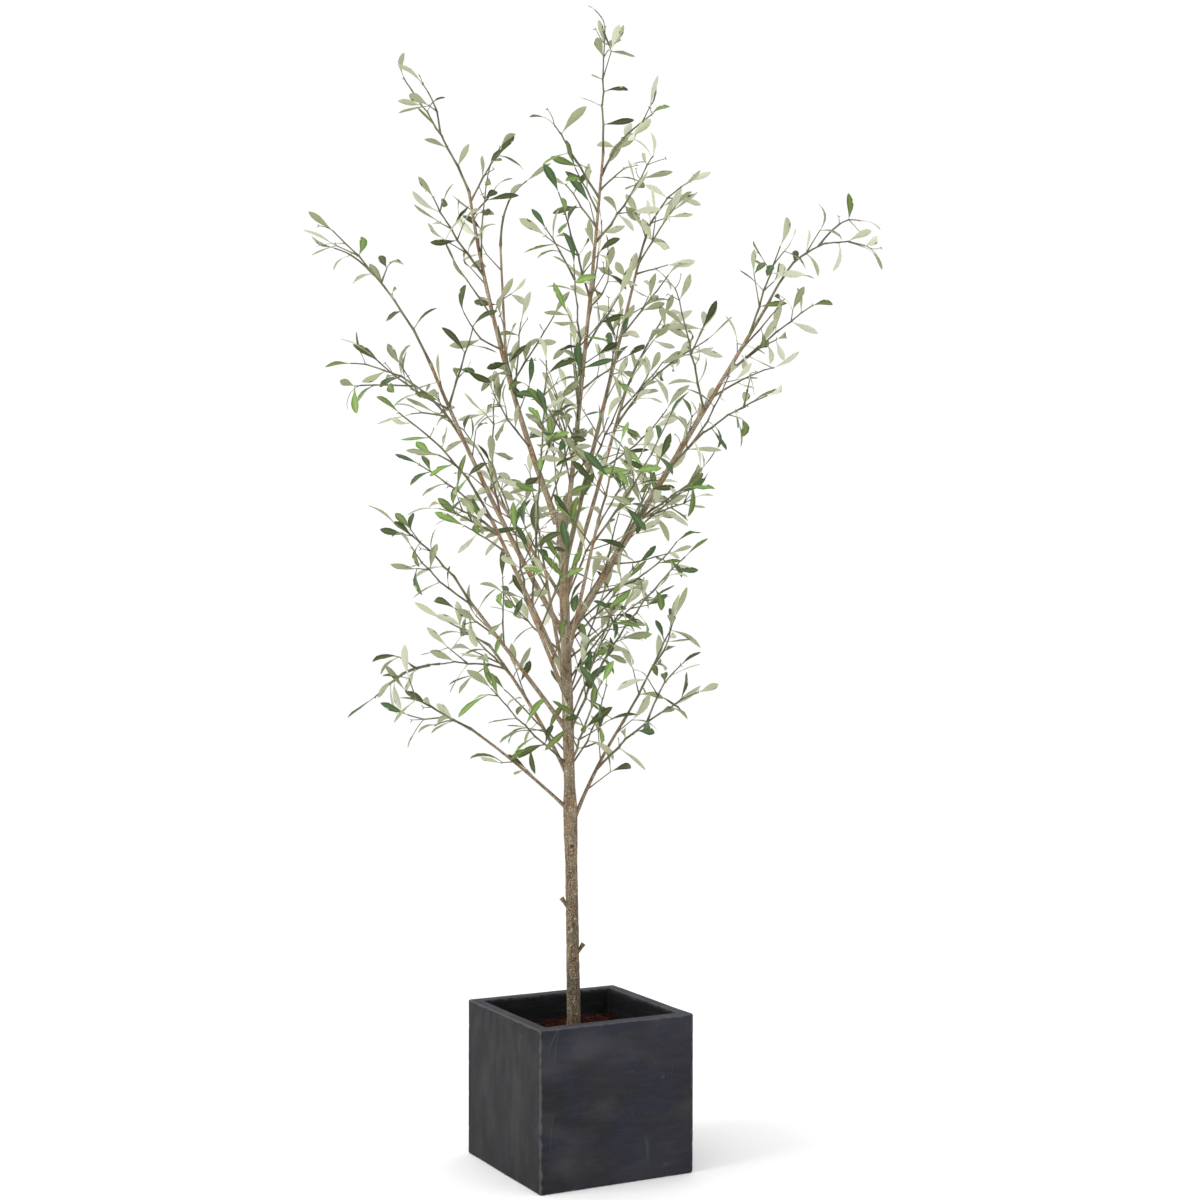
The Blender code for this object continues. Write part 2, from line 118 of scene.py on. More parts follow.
@dataclass(frozen=True)
class Limb:
    """A limb's axis: where it leaves its carrier, and how far it goes out and up."""

    name: str
    carrier: str
    at: float          # height on the trunk, or share of another carrier's length
    bearing: float     # degrees in the crown's bearings
    reach: float
    rise: float
    bow: float = 0.0   # height of the axis above its chord at mid-length
    foot: float = 0.0  # a bough's foot radius
    end: float = 0.0   # a bough's tip radius
    aside: float = 0.0  # how far the foot stands to the right of the carrier's axis
    leafy: float = 1.0  # how many leaves and twigs it bears, against the common rule


BOUGHS = (
    Limb("bough_high_left", "trunk", 1.146, 163, 0.169, 0.604, -0.018, 0.0056, 0.0026, -0.008),
    Limb("bough_leader", "trunk", 1.146, -17, 0.068, 0.658, -0.002, 0.0048, 0.0022, 0.009),
    Limb("bough_high_left_fork", "bough_high_left", 0.47, 99, 0.101, 0.240, -0.003, 0.0028, 0.0020),
    Limb("bough_right_inner", "trunk", 1.060, 54, 0.234, 0.582, 0.0, 0.0050, 0.0024),
    Limb("bough_right_back", "trunk", 1.010, 64, 0.255, 0.395, -0.003, 0.0045, 0.0026),
    Limb("bough_long_right", "trunk", 0.940, 9, 0.371, 0.605, -0.001, 0.0078, 0.0027),
    Limb("bough_upper_left", "trunk", 0.940, -151, 0.265, 0.477, -0.010, 0.0052, 0.0028),
    Limb("bough_left_back", "trunk", 1.004, 128, 0.229, 0.211, 0.003, 0.0034, 0.0022),
    Limb("bough_mid_left", "trunk", 0.862, -124, 0.222, 0.281, 0.0, 0.0048, 0.0029),
    Limb("bough_lower_left", "trunk", 0.772, -160, 0.184, 0.234, 0.001, 0.0043, 0.0026),
    Limb("bough_low_left_back", "trunk", 0.686, 139, 0.200, 0.238, 0.010, 0.0036, 0.0024),
    Limb("bough_lowest_left", "trunk", 0.629, -157, 0.187, 0.152, 0.004, 0.0031, 0.0020),
    Limb("bough_lowest_right", "trunk", 0.598, 36, 0.118, 0.188, 0.007, 0.0038, 0.0024),
    Limb("bough_front_left", "trunk", 0.826, -104, 0.268, 0.182, 0.002, 0.0042, 0.0024),
    Limb("bough_front_right", "trunk", 0.892, -78, 0.276, 0.248, 0.003, 0.0042, 0.0024),
    Limb("bough_back_left", "trunk", 0.840, 100, 0.274, 0.226, -0.004, 0.0042, 0.0024),
    Limb("bough_back_right", "trunk", 0.928, 68, 0.291, 0.205, -0.002, 0.0042, 0.0024),
)

# The leading stem of each foliage mass, under the mass's own name.
LEADING_STEMS: dict[Zone, tuple[Limb, ...]] = {
    Zone.TOP: (
        Limb("foliage_crown_tip", "bough_leader", 1.00, -55, 0.012, 0.270, 0.006),
        Limb("foliage_tip_right", "bough_leader", 0.94, 24, 0.143, 0.140, 0.020, leafy=0.8),
        Limb("foliage_tip_left", "bough_leader", 0.88, -141, 0.130, 0.151, -0.001),
        Limb("foliage_leader_upper_right", "bough_leader", 0.76, 52, 0.197, 0.225, -0.012),
        Limb("foliage_leader_upper_left", "bough_leader", 0.61, -117, 0.143, 0.206, -0.001),
        Limb("foliage_high_left_tip", "bough_high_left", 1.00, 162, 0.159, 0.252, 0.010, leafy=0.4),
        Limb("foliage_high_left_side", "bough_high_left", 0.75, -144, 0.131, 0.170, -0.009),
        Limb("foliage_high_left_fork", "bough_high_left_fork", 1.00, 24, 0.097, 0.151, 0.032),
    ),
    Zone.RIGHT: (
        Limb("foliage_right_inner_end", "bough_right_inner", 1.00, 33, 0.164, 0.191, 0.034),
        Limb("foliage_right_back_end", "bough_right_back", 1.00, 39, 0.127, 0.191, 0.006),
        Limb("foliage_right_back_side", "bough_right_back", 0.82, -5, 0.222, 0.182, 0.027),
        Limb("foliage_long_right_end", "bough_long_right", 1.00, 20, 0.261, 0.101, 0.069, leafy=0.35),
        Limb("foliage_long_right_up", "bough_long_right", 0.91, -52, 0.107, 0.188, 0.004),
        Limb("foliage_long_right_side", "bough_long_right", 0.78, 29, 0.234, 0.170, 0.005),
        Limb("foliage_long_right_inner", "bough_long_right", 0.68, 115, 0.132, 0.279, 0.003),
        Limb("foliage_long_right_low", "bough_long_right", 0.50, -27, 0.241, 0.138, 0.023),
        Limb("foliage_long_right_foot", "bough_long_right", 0.35, -54, 0.223, 0.092, -0.002),
    ),
    Zone.LEFT: (
        Limb("foliage_upper_left_end", "bough_upper_left", 1.00, -155, 0.214, 0.243, 0.021),
        Limb("foliage_upper_left_side", "bough_upper_left", 0.70, 167, 0.269, 0.161, 0.049),
        Limb("foliage_upper_left_front", "bough_upper_left", 0.85, -65, 0.153, 0.158, 0.002),
        Limb("foliage_left_back_end", "bough_left_back", 1.00, 88, 0.070, 0.219, 0.0),
        Limb("foliage_mid_left_end", "bough_mid_left", 1.00, -152, 0.214, 0.196, 0.025),
        Limb("foliage_mid_left_front", "bough_mid_left", 0.92, -127, 0.194, 0.050, 0.012),
        Limb("foliage_mid_left_riser", "bough_mid_left", 0.48, -81, 0.217, 0.449, -0.001),
        Limb("foliage_lower_left_end", "bough_lower_left", 1.00, -154, 0.180, 0.152, 0.019),
    ),
    Zone.MIDDLE: (
        Limb("foliage_leader_back", "bough_leader", 0.52, 82, 0.232, 0.269, -0.004),
        Limb("foliage_leader_front_right", "bough_leader", 0.47, -30, 0.100, 0.125, 0.002),
        Limb("foliage_leader_front", "bough_leader", 0.40, -96, 0.163, 0.212, 0.001),
        Limb("foliage_trunk_right_low", "trunk", 0.706, -73, 0.230, 0.192, 0.0),
        Limb("foliage_trunk_right_mid", "trunk", 0.764, -40, 0.300, 0.345, 0.030),
        Limb("foliage_front_left", "bough_front_left", 1.00, -97, 0.141, 0.143, 0.001, leafy=0.6),
        Limb("foliage_front_right", "bough_front_right", 1.00, -68, 0.119, 0.148, 0.002),
    ),
    Zone.LOW: (
        Limb("foliage_low_left_back_end", "bough_low_left_back", 1.00, 158, 0.137, 0.069, 0.0),
        Limb("foliage_left_arch_near", "bough_low_left_back", 0.80, -162, 0.145, 0.009, 0.008),
        Limb("foliage_left_arch_far", "foliage_left_arch_near", 1.00, -152, 0.130, -0.100, 0.023, leafy=0.7),
        Limb("foliage_lowest_left_end", "bough_lowest_left", 1.00, -158, 0.160, 0.094, -0.003),
        Limb("foliage_lowest_right_end", "bough_lowest_right", 1.00, 38, 0.146, 0.228, -0.005),
        Limb("foliage_lowest_right_side", "bough_lowest_right", 0.53, -27, 0.245, 0.163, 0.017),
    ),
    Zone.BACK: (
        Limb("foliage_back_left", "bough_back_left", 1.00, 105, 0.155, 0.232, 0.0),
        Limb("foliage_back_right", "bough_back_right", 1.00, 60, 0.173, 0.195, -0.003),
    ),
}

# Shorter leafy side stems between the leading ones: carrier, at, bearing, reach, rise and any bow.
SIDE_STEMS = (
    ("foliage_high_left_tip", 0.41, -143, 0.080, 0.110, 0.022),
    ("bough_high_left", 0.79, -63, 0.055, 0.205, 0.016),
    ("bough_high_left", 0.53, -129, 0.115, 0.105, -0.030),
    ("bough_high_left", 0.23, -123, 0.145, 0.125, -0.010),
    ("bough_leader", 0.90, -32, 0.095, 0.045, 0.008),
    ("bough_leader", 0.585, 66, 0.100, 0.135, -0.030),
    ("bough_leader", 0.36, 48, 0.160, 0.095),
    ("bough_leader", 0.20, -114, 0.165, 0.100, -0.005),
    ("bough_leader", 0.12, -62, 0.170, 0.130, -0.010),
    ("foliage_leader_front", 0.72, 146, 0.090, 0.130, 0.004),
    ("bough_right_inner", 1.00, -32, 0.110, 0.135, 0.002),
    ("bough_right_inner", 0.965, 26, 0.115, 0.030, 0.004),
    ("bough_right_back", 0.62, 34, 0.175, 0.155, -0.014),
    ("foliage_long_right_end", 0.71, -26, 0.065, -0.042, 0.004),
    ("foliage_long_right_end", 0.49, 21, 0.140, 0.037, 0.035),
    ("foliage_long_right_side", 0.285, -40, 0.095, -0.010, 0.023),
    ("foliage_long_right_low", 0.66, 67, 0.055, 0.090),
    ("foliage_long_right_low", 0.22, -43, 0.105, 0.160, -0.011),
    ("bough_long_right", 0.355, 36, 0.170, 0.055, -0.002),
    ("bough_long_right", 0.13, -35, 0.210, 0.130, -0.029),
    ("foliage_upper_left_end", 0.55, -160, 0.118, 0.035, 0.021),
    ("foliage_upper_left_end", 0.49, 51, 0.065, 0.032, 0.019),
    ("foliage_upper_left_side", 0.45, -160, 0.145, -0.004, 0.001),
    ("bough_upper_left", 0.84, -151, 0.183, 0.120, -0.012),
    ("bough_upper_left", 0.45, 135, 0.168, 0.200, 0.033),
    ("foliage_mid_left_end", 0.39, 144, 0.102, 0.020, 0.011),
    ("bough_mid_left", 1.00, -166, 0.165, 0.115, 0.007),
    ("bough_mid_left", 0.91, 169, 0.150, 0.063, 0.005),
    ("bough_left_back", 0.50, 158, 0.133, 0.082, 0.003),
    ("bough_lower_left", 0.965, -147, 0.148, 0.139, -0.015),
    ("bough_lower_left", 0.66, -88, 0.070, 0.175, -0.050),
    ("bough_low_left_back", 0.83, -148, 0.112, 0.048),
    ("trunk", 0.712, -143, 0.200, 0.178, -0.009),
    ("foliage_left_arch_near", 0.87, -151, 0.122, -0.063, 0.020),
    ("bough_lowest_left", 0.915, -145, 0.124, -0.032, 0.047),
    ("foliage_lowest_left_end", 0.27, 156, 0.124, 0.020, -0.013),
    ("foliage_lowest_right_side", 0.455, 36, 0.120, 0.122, 0.020),
    ("foliage_lowest_right_end", 0.45, -60, 0.070, 0.126, -0.023),
    ("trunk", 0.707, 53, 0.125, 0.190, -0.022),
    ("trunk", 0.784, -54, 0.173, 0.275, -0.005),
    ("trunk", 0.829, 56, 0.156, 0.254, 0.002),
    ("bough_front_left", 0.405, -60, 0.080, 0.141, -0.010),
    ("bough_front_right", 0.18, -14, 0.125, 0.139, -0.005),
    ("bough_back_left", 0.35, 163, 0.135, 0.139, -0.007),
    ("bough_back_right", 0.20, 16, 0.146, 0.141, -0.003),
    ("trunk", 1.000, -35, 0.200, 0.300, 0.015),
    ("trunk", 1.030, 100, 0.160, 0.330),
    ("trunk", 0.860, -25, 0.150, 0.170, 0.005),
    ("trunk", 0.830, 35, 0.140, 0.190),
    ("trunk", 0.730, 170, 0.150, 0.150),
    ("bough_front_right", 0.85, -20, 0.150, 0.240, -0.010),
    ("bough_front_left", 0.70, -30, 0.090, 0.260, -0.010),
    ("bough_right_inner", 0.30, -50, 0.150, 0.200),
    ("bough_right_inner", 0.55, -75, 0.130, 0.180),
    ("bough_right_inner", 0.75, -10, 0.120, 0.150),
    ("bough_leader", 0.30, 100, 0.120, 0.190),
    ("bough_leader", 0.80, 150, 0.090, 0.120),
    ("bough_leader", 0.84, -140, 0.080, 0.110),
    ("bough_long_right", 0.30, 20, 0.150, 0.120),
    ("bough_long_right", 0.25, -60, 0.170, 0.200, -0.010),
    ("bough_long_right", 0.72, -15, 0.160, 0.060, 0.010),
    ("bough_long_right", 0.86, -40, 0.120, 0.100),
    ("bough_back_right", 0.85, 20, 0.150, 0.250, -0.010),
    ("bough_back_left", 0.80, 150, 0.140, 0.240),
    ("bough_left_back", 0.70, 120, 0.120, 0.150),
    ("bough_high_left", 0.15, 60, 0.120, 0.200),
    ("bough_high_left", 0.36, -100, 0.120, 0.120),
    ("bough_high_left", 0.42, -20, 0.110, 0.160),
    ("bough_high_left", 0.62, 170, 0.090, 0.130),
    ("bough_mid_left", 0.80, -175, 0.120, 0.060, 0.010),
    ("bough_lower_left", 0.72, 170, 0.120, 0.070, 0.005),
    ("bough_low_left_back", 0.75, 170, 0.120, 0.120),
    ("bough_high_left", 0.38, 80, 0.060, 0.190),
    ("bough_high_left", 0.93, 30, 0.075, 0.085),
    ("bough_leader", 0.16, -150, 0.050, 0.180),
    ("bough_leader", 0.27, -85, 0.080, 0.120),
    ("bough_leader", 0.22, 165, 0.060, 0.130),
    ("bough_long_right", 0.18, -70, 0.110, 0.150),
    ("bough_long_right", 0.22, -15, 0.150, 0.040, -0.010),
    ("trunk", 0.900, -10, 0.190, 0.150),
    ("trunk", 0.800, -110, 0.060, 0.120),
    ("bough_right_back", 0.90, 20, 0.120, 0.130),
    ("bough_high_left", 0.97, -30, 0.090, 0.130),
    ("bough_high_left", 0.06, -50, 0.090, 0.170),
    ("bough_leader", 0.10, -120, 0.060, 0.160),
    ("bough_leader", 0.31, -100, 0.070, 0.150),
    ("foliage_upper_left_side", 0.20, -165, 0.110, -0.010, 0.010),
    ("bough_long_right", 0.80, 30, 0.110, 0.070),
)


# -------- arithmetic on whole arrays
def unit(vectors: Array) -> Array:
    """Vectors scaled to length 1 along the last axis."""
    return vectors / np.maximum(np.linalg.norm(vectors, axis=-1, keepdims=True), 1e-12)


def smooth_step(values: Array, low: float, high: float) -> Array:
    """0 below low, 1 above high, and the cubic 3t^2 - 2t^3 between."""
    share = np.clip((values - low) / (high - low), 0.0, 1.0)
    return share * share * (3.0 - 2.0 * share)


def fade_out(values: Array, low: float, high: float) -> Array:
    """1 below low, 0 above high, and the same cubic downwards between."""
    return 1.0 - smooth_step(values, low, high)


def in_heart(places: Array) -> Array:
    """How far places lie in the upper heart of the crown, left of its middle.

    Args:
        places: (..., 3) places in the crown's bearings.

    Returns:
        0 outside it to 1 within it.
    """
    across, height = places[..., 0], places[..., 2]
    level = smooth_step(height, *HEART_BEGINS) * fade_out(height, *HEART_ENDS)
    return level * smooth_step(across, *HEART_LEFT) * fade_out(across, *HEART_RIGHT)


def turned(points: Array) -> Array:
    """Turn points about +Z by CROWN_TURN.

    Args:
        points: (..., 3) places in the crown's bearings.

    Returns:
        The places in the model's own axes.
    """
    cosine, sine = math.cos(CROWN_TURN), math.sin(CROWN_TURN)
    turn = np.array(((cosine, -sine, 0.0), (sine, cosine, 0.0), (0.0, 0.0, 1.0)))
    return points @ turn.T


def seed_of(name: str) -> Random:
    """A random generator of its own for each named thing, so that one can change without the rest."""
    return np.random.default_rng(zlib.crc32(name.encode()))


class Lattice:
    """Smooth random relief: values on the corners of unit cells, blended with a cubic between them.

    The value at a point is the product blend of the eight corners round it, each a fixed random number
    in -1 to 1, with the weight 3t^2 - 2t^3 along each axis.
    """

    CELLS = 32

    def __init__(self, name: str) -> None:
        """Draw the corner values, which the name seeds."""
        self.values = seed_of(name).uniform(-1.0, 1.0, (self.CELLS,) * 3)

    def at(self, points: Array, pitch: float) -> Array:
        """Relief at points.

        Args:
            points: (..., 3) places in metres.
            pitch: size of a cell in metres.

        Returns:
            Values of about -1 to 1, shaped like points without its last axis.
        """
        scaled = points / pitch
        low = np.floor(scaled).astype(int)
        share = smooth_step(scaled - low, 0.0, 1.0)
        total = np.zeros(points.shape[:-1])
        for corner in np.ndindex(2, 2, 2):
            weight = np.prod(np.where(corner, share, 1.0 - share), axis=-1)
            spot = (low + corner) % self.CELLS
            total += weight * self.values[spot[..., 0], spot[..., 1], spot[..., 2]]
        return total


class Axis:
    """A limb's centre line: a straight chord with a parabolic bow.

    The point at share s is start + s*chord + 4s(1 - s)*bow*upward, where upward is square to the chord in
    its vertical plane.
    """

    def __init__(self, start: Sequence[float] | Array, chord: Sequence[float] | Array, bow: float) -> None:
        """Set the line out.

        Args:
            start: where the limb begins.
            chord: from its beginning to its end.
            bow: height of the line above the chord at mid-length.
        """
        self.start = np.asarray(start, dtype=float)
        self.chord = np.asarray(chord, dtype=float)
        self.length = float(np.linalg.norm(self.chord))
        level = np.array((self.chord[0], self.chord[1], 0.0))
        reach = max(float(np.linalg.norm(level)), 1e-6)
        slope = self.chord[2] / reach
        self.bow = bow * np.array((-level[0] * slope, -level[1] * slope, reach)) / self.length

    def points(self, shares: float | Array) -> Array:
        """Places along the line at shares 0 to 1 of it."""
        share = np.asarray(shares, dtype=float)[..., None]
        return self.start + share * self.chord + 4.0 * share * (1.0 - share) * self.bow

    def directions(self, shares: float | Array) -> Array:
        """Unit tangents at shares 0 to 1 of the line."""
        share = np.asarray(shares, dtype=float)[..., None]
        return unit(self.chord + 4.0 * (1.0 - 2.0 * share) * self.bow)

    def frame(self) -> tuple[Array, Array]:
        """The side and over directions halfway along the line."""
        _, side, over = cross_frames(self.points(np.linspace(0.0, 1.0, 5)))
        return side[2], over[2]


def trunk_share(height: float) -> float:
    """The share of the trunk's length at a height above the underside."""
    return (height - SOIL_LEVEL) / (TRUNK_TOP - SOIL_LEVEL)


def limb_axis(limb: Limb, axes: dict[str, Axis]) -> Axis:
    """Place a limb on its carrier.

    Args:
        limb: the limb's sizes.
        axes: the centre lines made so far, by name.

    Returns:
        The limb's centre line.
    """
    share = trunk_share(limb.at) if limb.carrier == "trunk" else limb.at
    start = axes[limb.carrier].points(share) + np.array((limb.aside, 0.0, 0.0))
    angle = math.radians(limb.bearing)
    chord = (limb.reach * math.cos(angle), limb.reach * math.sin(angle), limb.rise)
    return Axis(start, chord, limb.bow)


# -------- meshes
class PieceMesh:
    """Gathers the grids, rings and caps of one piece, and makes a single mesh object of them."""

    def __init__(self) -> None:
        """Start with nothing."""
        self.count = 0
        self.points: list[Array] = []
        self.faces: list[tuple[Array, Array]] = []
        self.marks: dict[str, list[Array]] = {}

    def add(self, points: Array, faces: Faces, **marks: Array) -> None:
        """Add a patch.

        Args:
            points: (..., 3) vertices.
            faces: vertex numbers within this patch and their material slots.
            marks: a value or a vector for each vertex, kept as a mesh attribute of that name.
        """
        flat = points.reshape(-1, 3)
        for corners, slot in faces:
            slots = np.broadcast_to(np.asarray(slot, dtype=np.int32), (len(corners),))
            self.faces.append((corners + self.count, slots))
        for name, values in marks.items():
            self.marks.setdefault(name, []).append(values.reshape(len(flat), -1).astype(np.float32))
        self.points.append(flat)
        self.count += len(flat)

    def tube(self, line: Array, radii: Array, sides: int) -> None:
        """Add a closed tube round a line of centres."""
        self.add(ring_points(line, radii, sides), closed_tube(len(line), sides))

    def build(self, name: str, materials: Sequence[Material], sharp: float = 50.0,
              in_crown: bool = False) -> Piece:
        """Make the object.

        Args:
            name: the piece's name.
            materials: one for each slot.
            sharp: faces that meet at more than this many degrees keep a crisp edge.
            in_crown: whether the points are in the crown's bearings and still to be turned.

        Returns:
            The new mesh object, at the origin.
        """
        points = np.concatenate(self.points)
        points = turned(points) if in_crown else points
        corners = np.concatenate([faces.ravel() for faces, _ in self.faces]).astype(np.int32)
        sizes = np.concatenate([np.full(len(faces), faces.shape[1]) for faces, _ in self.faces])
        slots = np.concatenate([slots for _, slots in self.faces])
        mesh = bpy.data.meshes.new(name)
        mesh.vertices.add(len(points))
        mesh.vertices.foreach_set("co", points.astype(np.float32).ravel())
        mesh.loops.add(len(corners))
        mesh.loops.foreach_set("vertex_index", corners)
        mesh.polygons.add(len(sizes))
        starts = np.concatenate(((0,), np.cumsum(sizes)[:-1])).astype(np.int32)
        mesh.polygons.foreach_set("loop_start", starts)
        for material in materials:
            mesh.materials.append(material)
        mesh.polygons.foreach_set("material_index", slots.astype(np.int32))
        for mark, parts in self.marks.items():
            values = np.concatenate(parts)
            kind, key = ("FLOAT_VECTOR", "vector") if values.shape[1] == 3 else ("FLOAT", "value")
            mesh.attributes.new(mark, kind, "POINT").data.foreach_set(key, values.ravel())
        mesh.update(calc_edges=True)
        mesh.validate()
        mesh.shade_smooth()
        mesh.set_sharp_from_angle(angle=math.radians(sharp))
        item = bpy.data.objects.new(name, mesh)
        bpy.context.scene.collection.objects.link(item)
        return item


def dress(piece: Piece, slot: str, *nodes: str) -> Piece:
    """Tie a piece to the object.

    Args:
        piece: the piece.
        slot: the finish's material slot; not used.
        nodes: the solids that it stands for.

    Returns:
        The piece.
    """
    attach(piece, "root")
    if nodes:
        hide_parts(*nodes)
    return piece


def grid_faces(number: Array) -> Array:
    """Quads, facing up, of an (n, m) grid of vertex numbers along +X and then +Y."""
    quads = np.stack((number[:-1, :-1], number[1:, :-1], number[1:, 1:], number[:-1, 1:]), axis=-1)
    return quads.reshape(-1, 4)


def tube_faces(rings: int, sides: int) -> Array:
    """Quads of a tube whose vertices run round each ring and then ring by ring.

    Args:
        rings: number of rings.
        sides: vertices to a ring.

    Returns:
        (faces, 4) vertex numbers, facing outwards.
    """
    ring = np.arange(rings * sides).reshape(rings, sides)
    after = np.roll(ring, -1, axis=1)
    return np.stack((ring[:-1], after[:-1], after[1:], ring[1:]), axis=-1).reshape(-1, 4)


def closed_tube(rings: int, sides: int) -> Faces:
    """Faces of a tube and of its two flat caps, all in the first slot."""
    caps = np.stack((np.arange(sides)[::-1], (rings - 1) * sides + np.arange(sides)))
    return [(tube_faces(rings, sides), 0), (caps, 0)]


def fanned_tube(points: Array) -> tuple[Array, Faces]:
    """A tube closed by fans, for ends with straight sides.

    Args:
        points: (rings, sides, 3) vertices.

    Returns:
        The vertices in one row, the middles of the two ends last, and the faces.
    """
    rings, sides = points.shape[:2]
    middles = np.stack((points[0].mean(axis=0), points[-1].mean(axis=0)))
    count = rings * sides
    first, last = np.arange(sides), np.arange(count - sides, count)
    fans = np.concatenate((np.stack((np.roll(first, -1), first, np.full(sides, count)), axis=-1),
                           np.stack((last, np.roll(last, -1), np.full(sides, count + 1)), axis=-1)))
    return np.concatenate((points.reshape(-1, 3), middles)), [(tube_faces(rings, sides), 0), (fans, 0)]


def cross_frames(points: Array) -> tuple[Array, Array, Array]:
    """Directions along a line of points and square to it.

    Args:
        points: (n, 3) places along the line.

    Returns:
        Unit tangents, and the side and over directions, with side x over = tangent.
    """
    along = unit(np.gradient(points, axis=0))
    reference = np.eye(3)[int(np.argmin(np.abs(along.mean(axis=0))))]
    side = unit(np.cross(along, reference))
    return along, side, np.cross(along, side)


def ring_points(points: Array, radii: Array, sides: int) -> Array:
    """Rings round a line: centre + radius * (cos(a) * side + sin(a) * over).

    Args:
        points: (n, 3) centres.
        radii: (n,) or (n, sides) distances from the centre.
        sides: vertices to a ring.

    Returns:
        (n, sides, 3) vertices.
    """
    _, side, over = cross_frames(points)
    angles = TURN * np.arange(sides) / sides
    outward = (np.cos(angles)[None, :, None] * side[:, None, :]
               + np.sin(angles)[None, :, None] * over[:, None, :])
    reach = radii[:, None] if radii.ndim == 1 else radii
    return points[:, None, :] + reach[:, :, None] * outward


# -------- shaders
def linear(*screen: int) -> Colour:
    """The opaque linear colour that shaders take, from a screen colour of 0 to 255."""
    shares = (number / 255.0 for number in screen)
    return (*(part / 12.92 if part <= 0.04045 else ((part + 0.055) / 1.055) ** 2.4 for part in shares), 1.0)


class Effect(Enum):
    """The effects that several finishes share, each a shader node group."""

    CLOUDS = "clouds"      # soft patches
    SPECKS = "specks"      # small spots scattered at a chosen density
    GRAIN = "grain"        # short streaks along the third axis, as a mask and a height
    LINES = "lines"        # thin lines, like scratches, between wandering cells


class Shading:
    """A node tree in the making, and the few kinds of node that effects and finishes are made of."""

    def __init__(self, tree: Tree) -> None:
        """Work on a tree."""
        self.tree = tree

    def node(self, kind: str, inputs: dict, **settings: object) -> Node:
        """Add a node and fill or link its inputs.

        Args:
            kind: the node's type, without its prefix.
            inputs: for each input's name or number, a value or the socket that feeds it.
            settings: properties of the node itself.

        Returns:
            The node.
        """
        item = self.tree.nodes.new("ShaderNode" + kind)
        for key, value in settings.items():
            setattr(item, key, value)
        for key, value in inputs.items():
            if isinstance(value, Socket):
                self.tree.links.new(value, item.inputs[key])
            else:
                item.inputs[key].default_value = value
        return item

    def noise(self, vector: Socket, scale: Socket, detail: Socket | float, roughness: float = 0.5) -> Node:
        """A noise texture."""
        return self.node("TexNoise", {"Vector": vector, "Scale": scale, "Detail": detail,
                                      "Roughness": roughness})

    def level(self, value: Socket, given: tuple = (0.0, 1.0), wanted: tuple = (0.0, 1.0)) -> Socket:
        """A value carried from the given span to the wanted one, and held there."""
        return self.node("MapRange", {"Value": value, "From Min": given[0], "From Max": given[1],
                                      "To Min": wanted[0], "To Max": wanted[1]}).outputs["Result"]

    def maths(self, operation: str, *values: object) -> Socket:
        """The result of one sum on numbers, held to 0 to 1."""
        return self.node("Math", dict(enumerate(values)), operation=operation, use_clamp=True).outputs[0]

    def times(self, *values: object) -> Socket:
        """The product of two numbers, held to 0 to 1."""
        return self.maths("MULTIPLY", *values)

    def mix(self, share: Socket, low: object, high: object, blend: str = "MIX") -> Socket:
        """A colour between two others, by a share of 0 to 1."""
        return self.node("Mix", {0: share, 6: low, 7: high}, data_type="RGBA", blend_type=blend).outputs[2]

    def layered(self, colour: object, *layers: tuple[Socket, float, object]) -> Socket:
        """A colour with others laid over it in turn.

        Args:
            colour: the lowest.
            layers: the mask, the strength of 0 to 1 and the colour of each.

        Returns:
            The colour that shows.
        """
        for mask, strength, over in layers:
            colour = self.mix(self.times(mask, strength), colour, over)
        return colour

    def group_inputs(self, **numbers: float) -> Sequence[Socket]:
        """Give a node group a vector and some numbers to take in.

        Args:
            numbers: the default of each.

        Returns:
            The sockets inside the group, by name.
        """
        new_socket = self.tree.interface.new_socket
        new_socket("Vector", in_out="INPUT", socket_type="NodeSocketVector")
        for name, value in numbers.items():
            new_socket(name, in_out="INPUT", socket_type="NodeSocketFloat").default_value = value
        return self.tree.nodes.new("NodeGroupInput").outputs

    def group_outputs(self, **numbers: Socket) -> None:
        """Put numbers out of a node group.

        Args:
            numbers: the socket that feeds each.
        """
        for name in numbers:
            self.tree.interface.new_socket(name, in_out="OUTPUT", socket_type="NodeSocketFloat")
        end = self.tree.nodes.new("NodeGroupOutput")
        for name, socket in numbers.items():
            self.tree.links.new(socket, end.inputs[name])


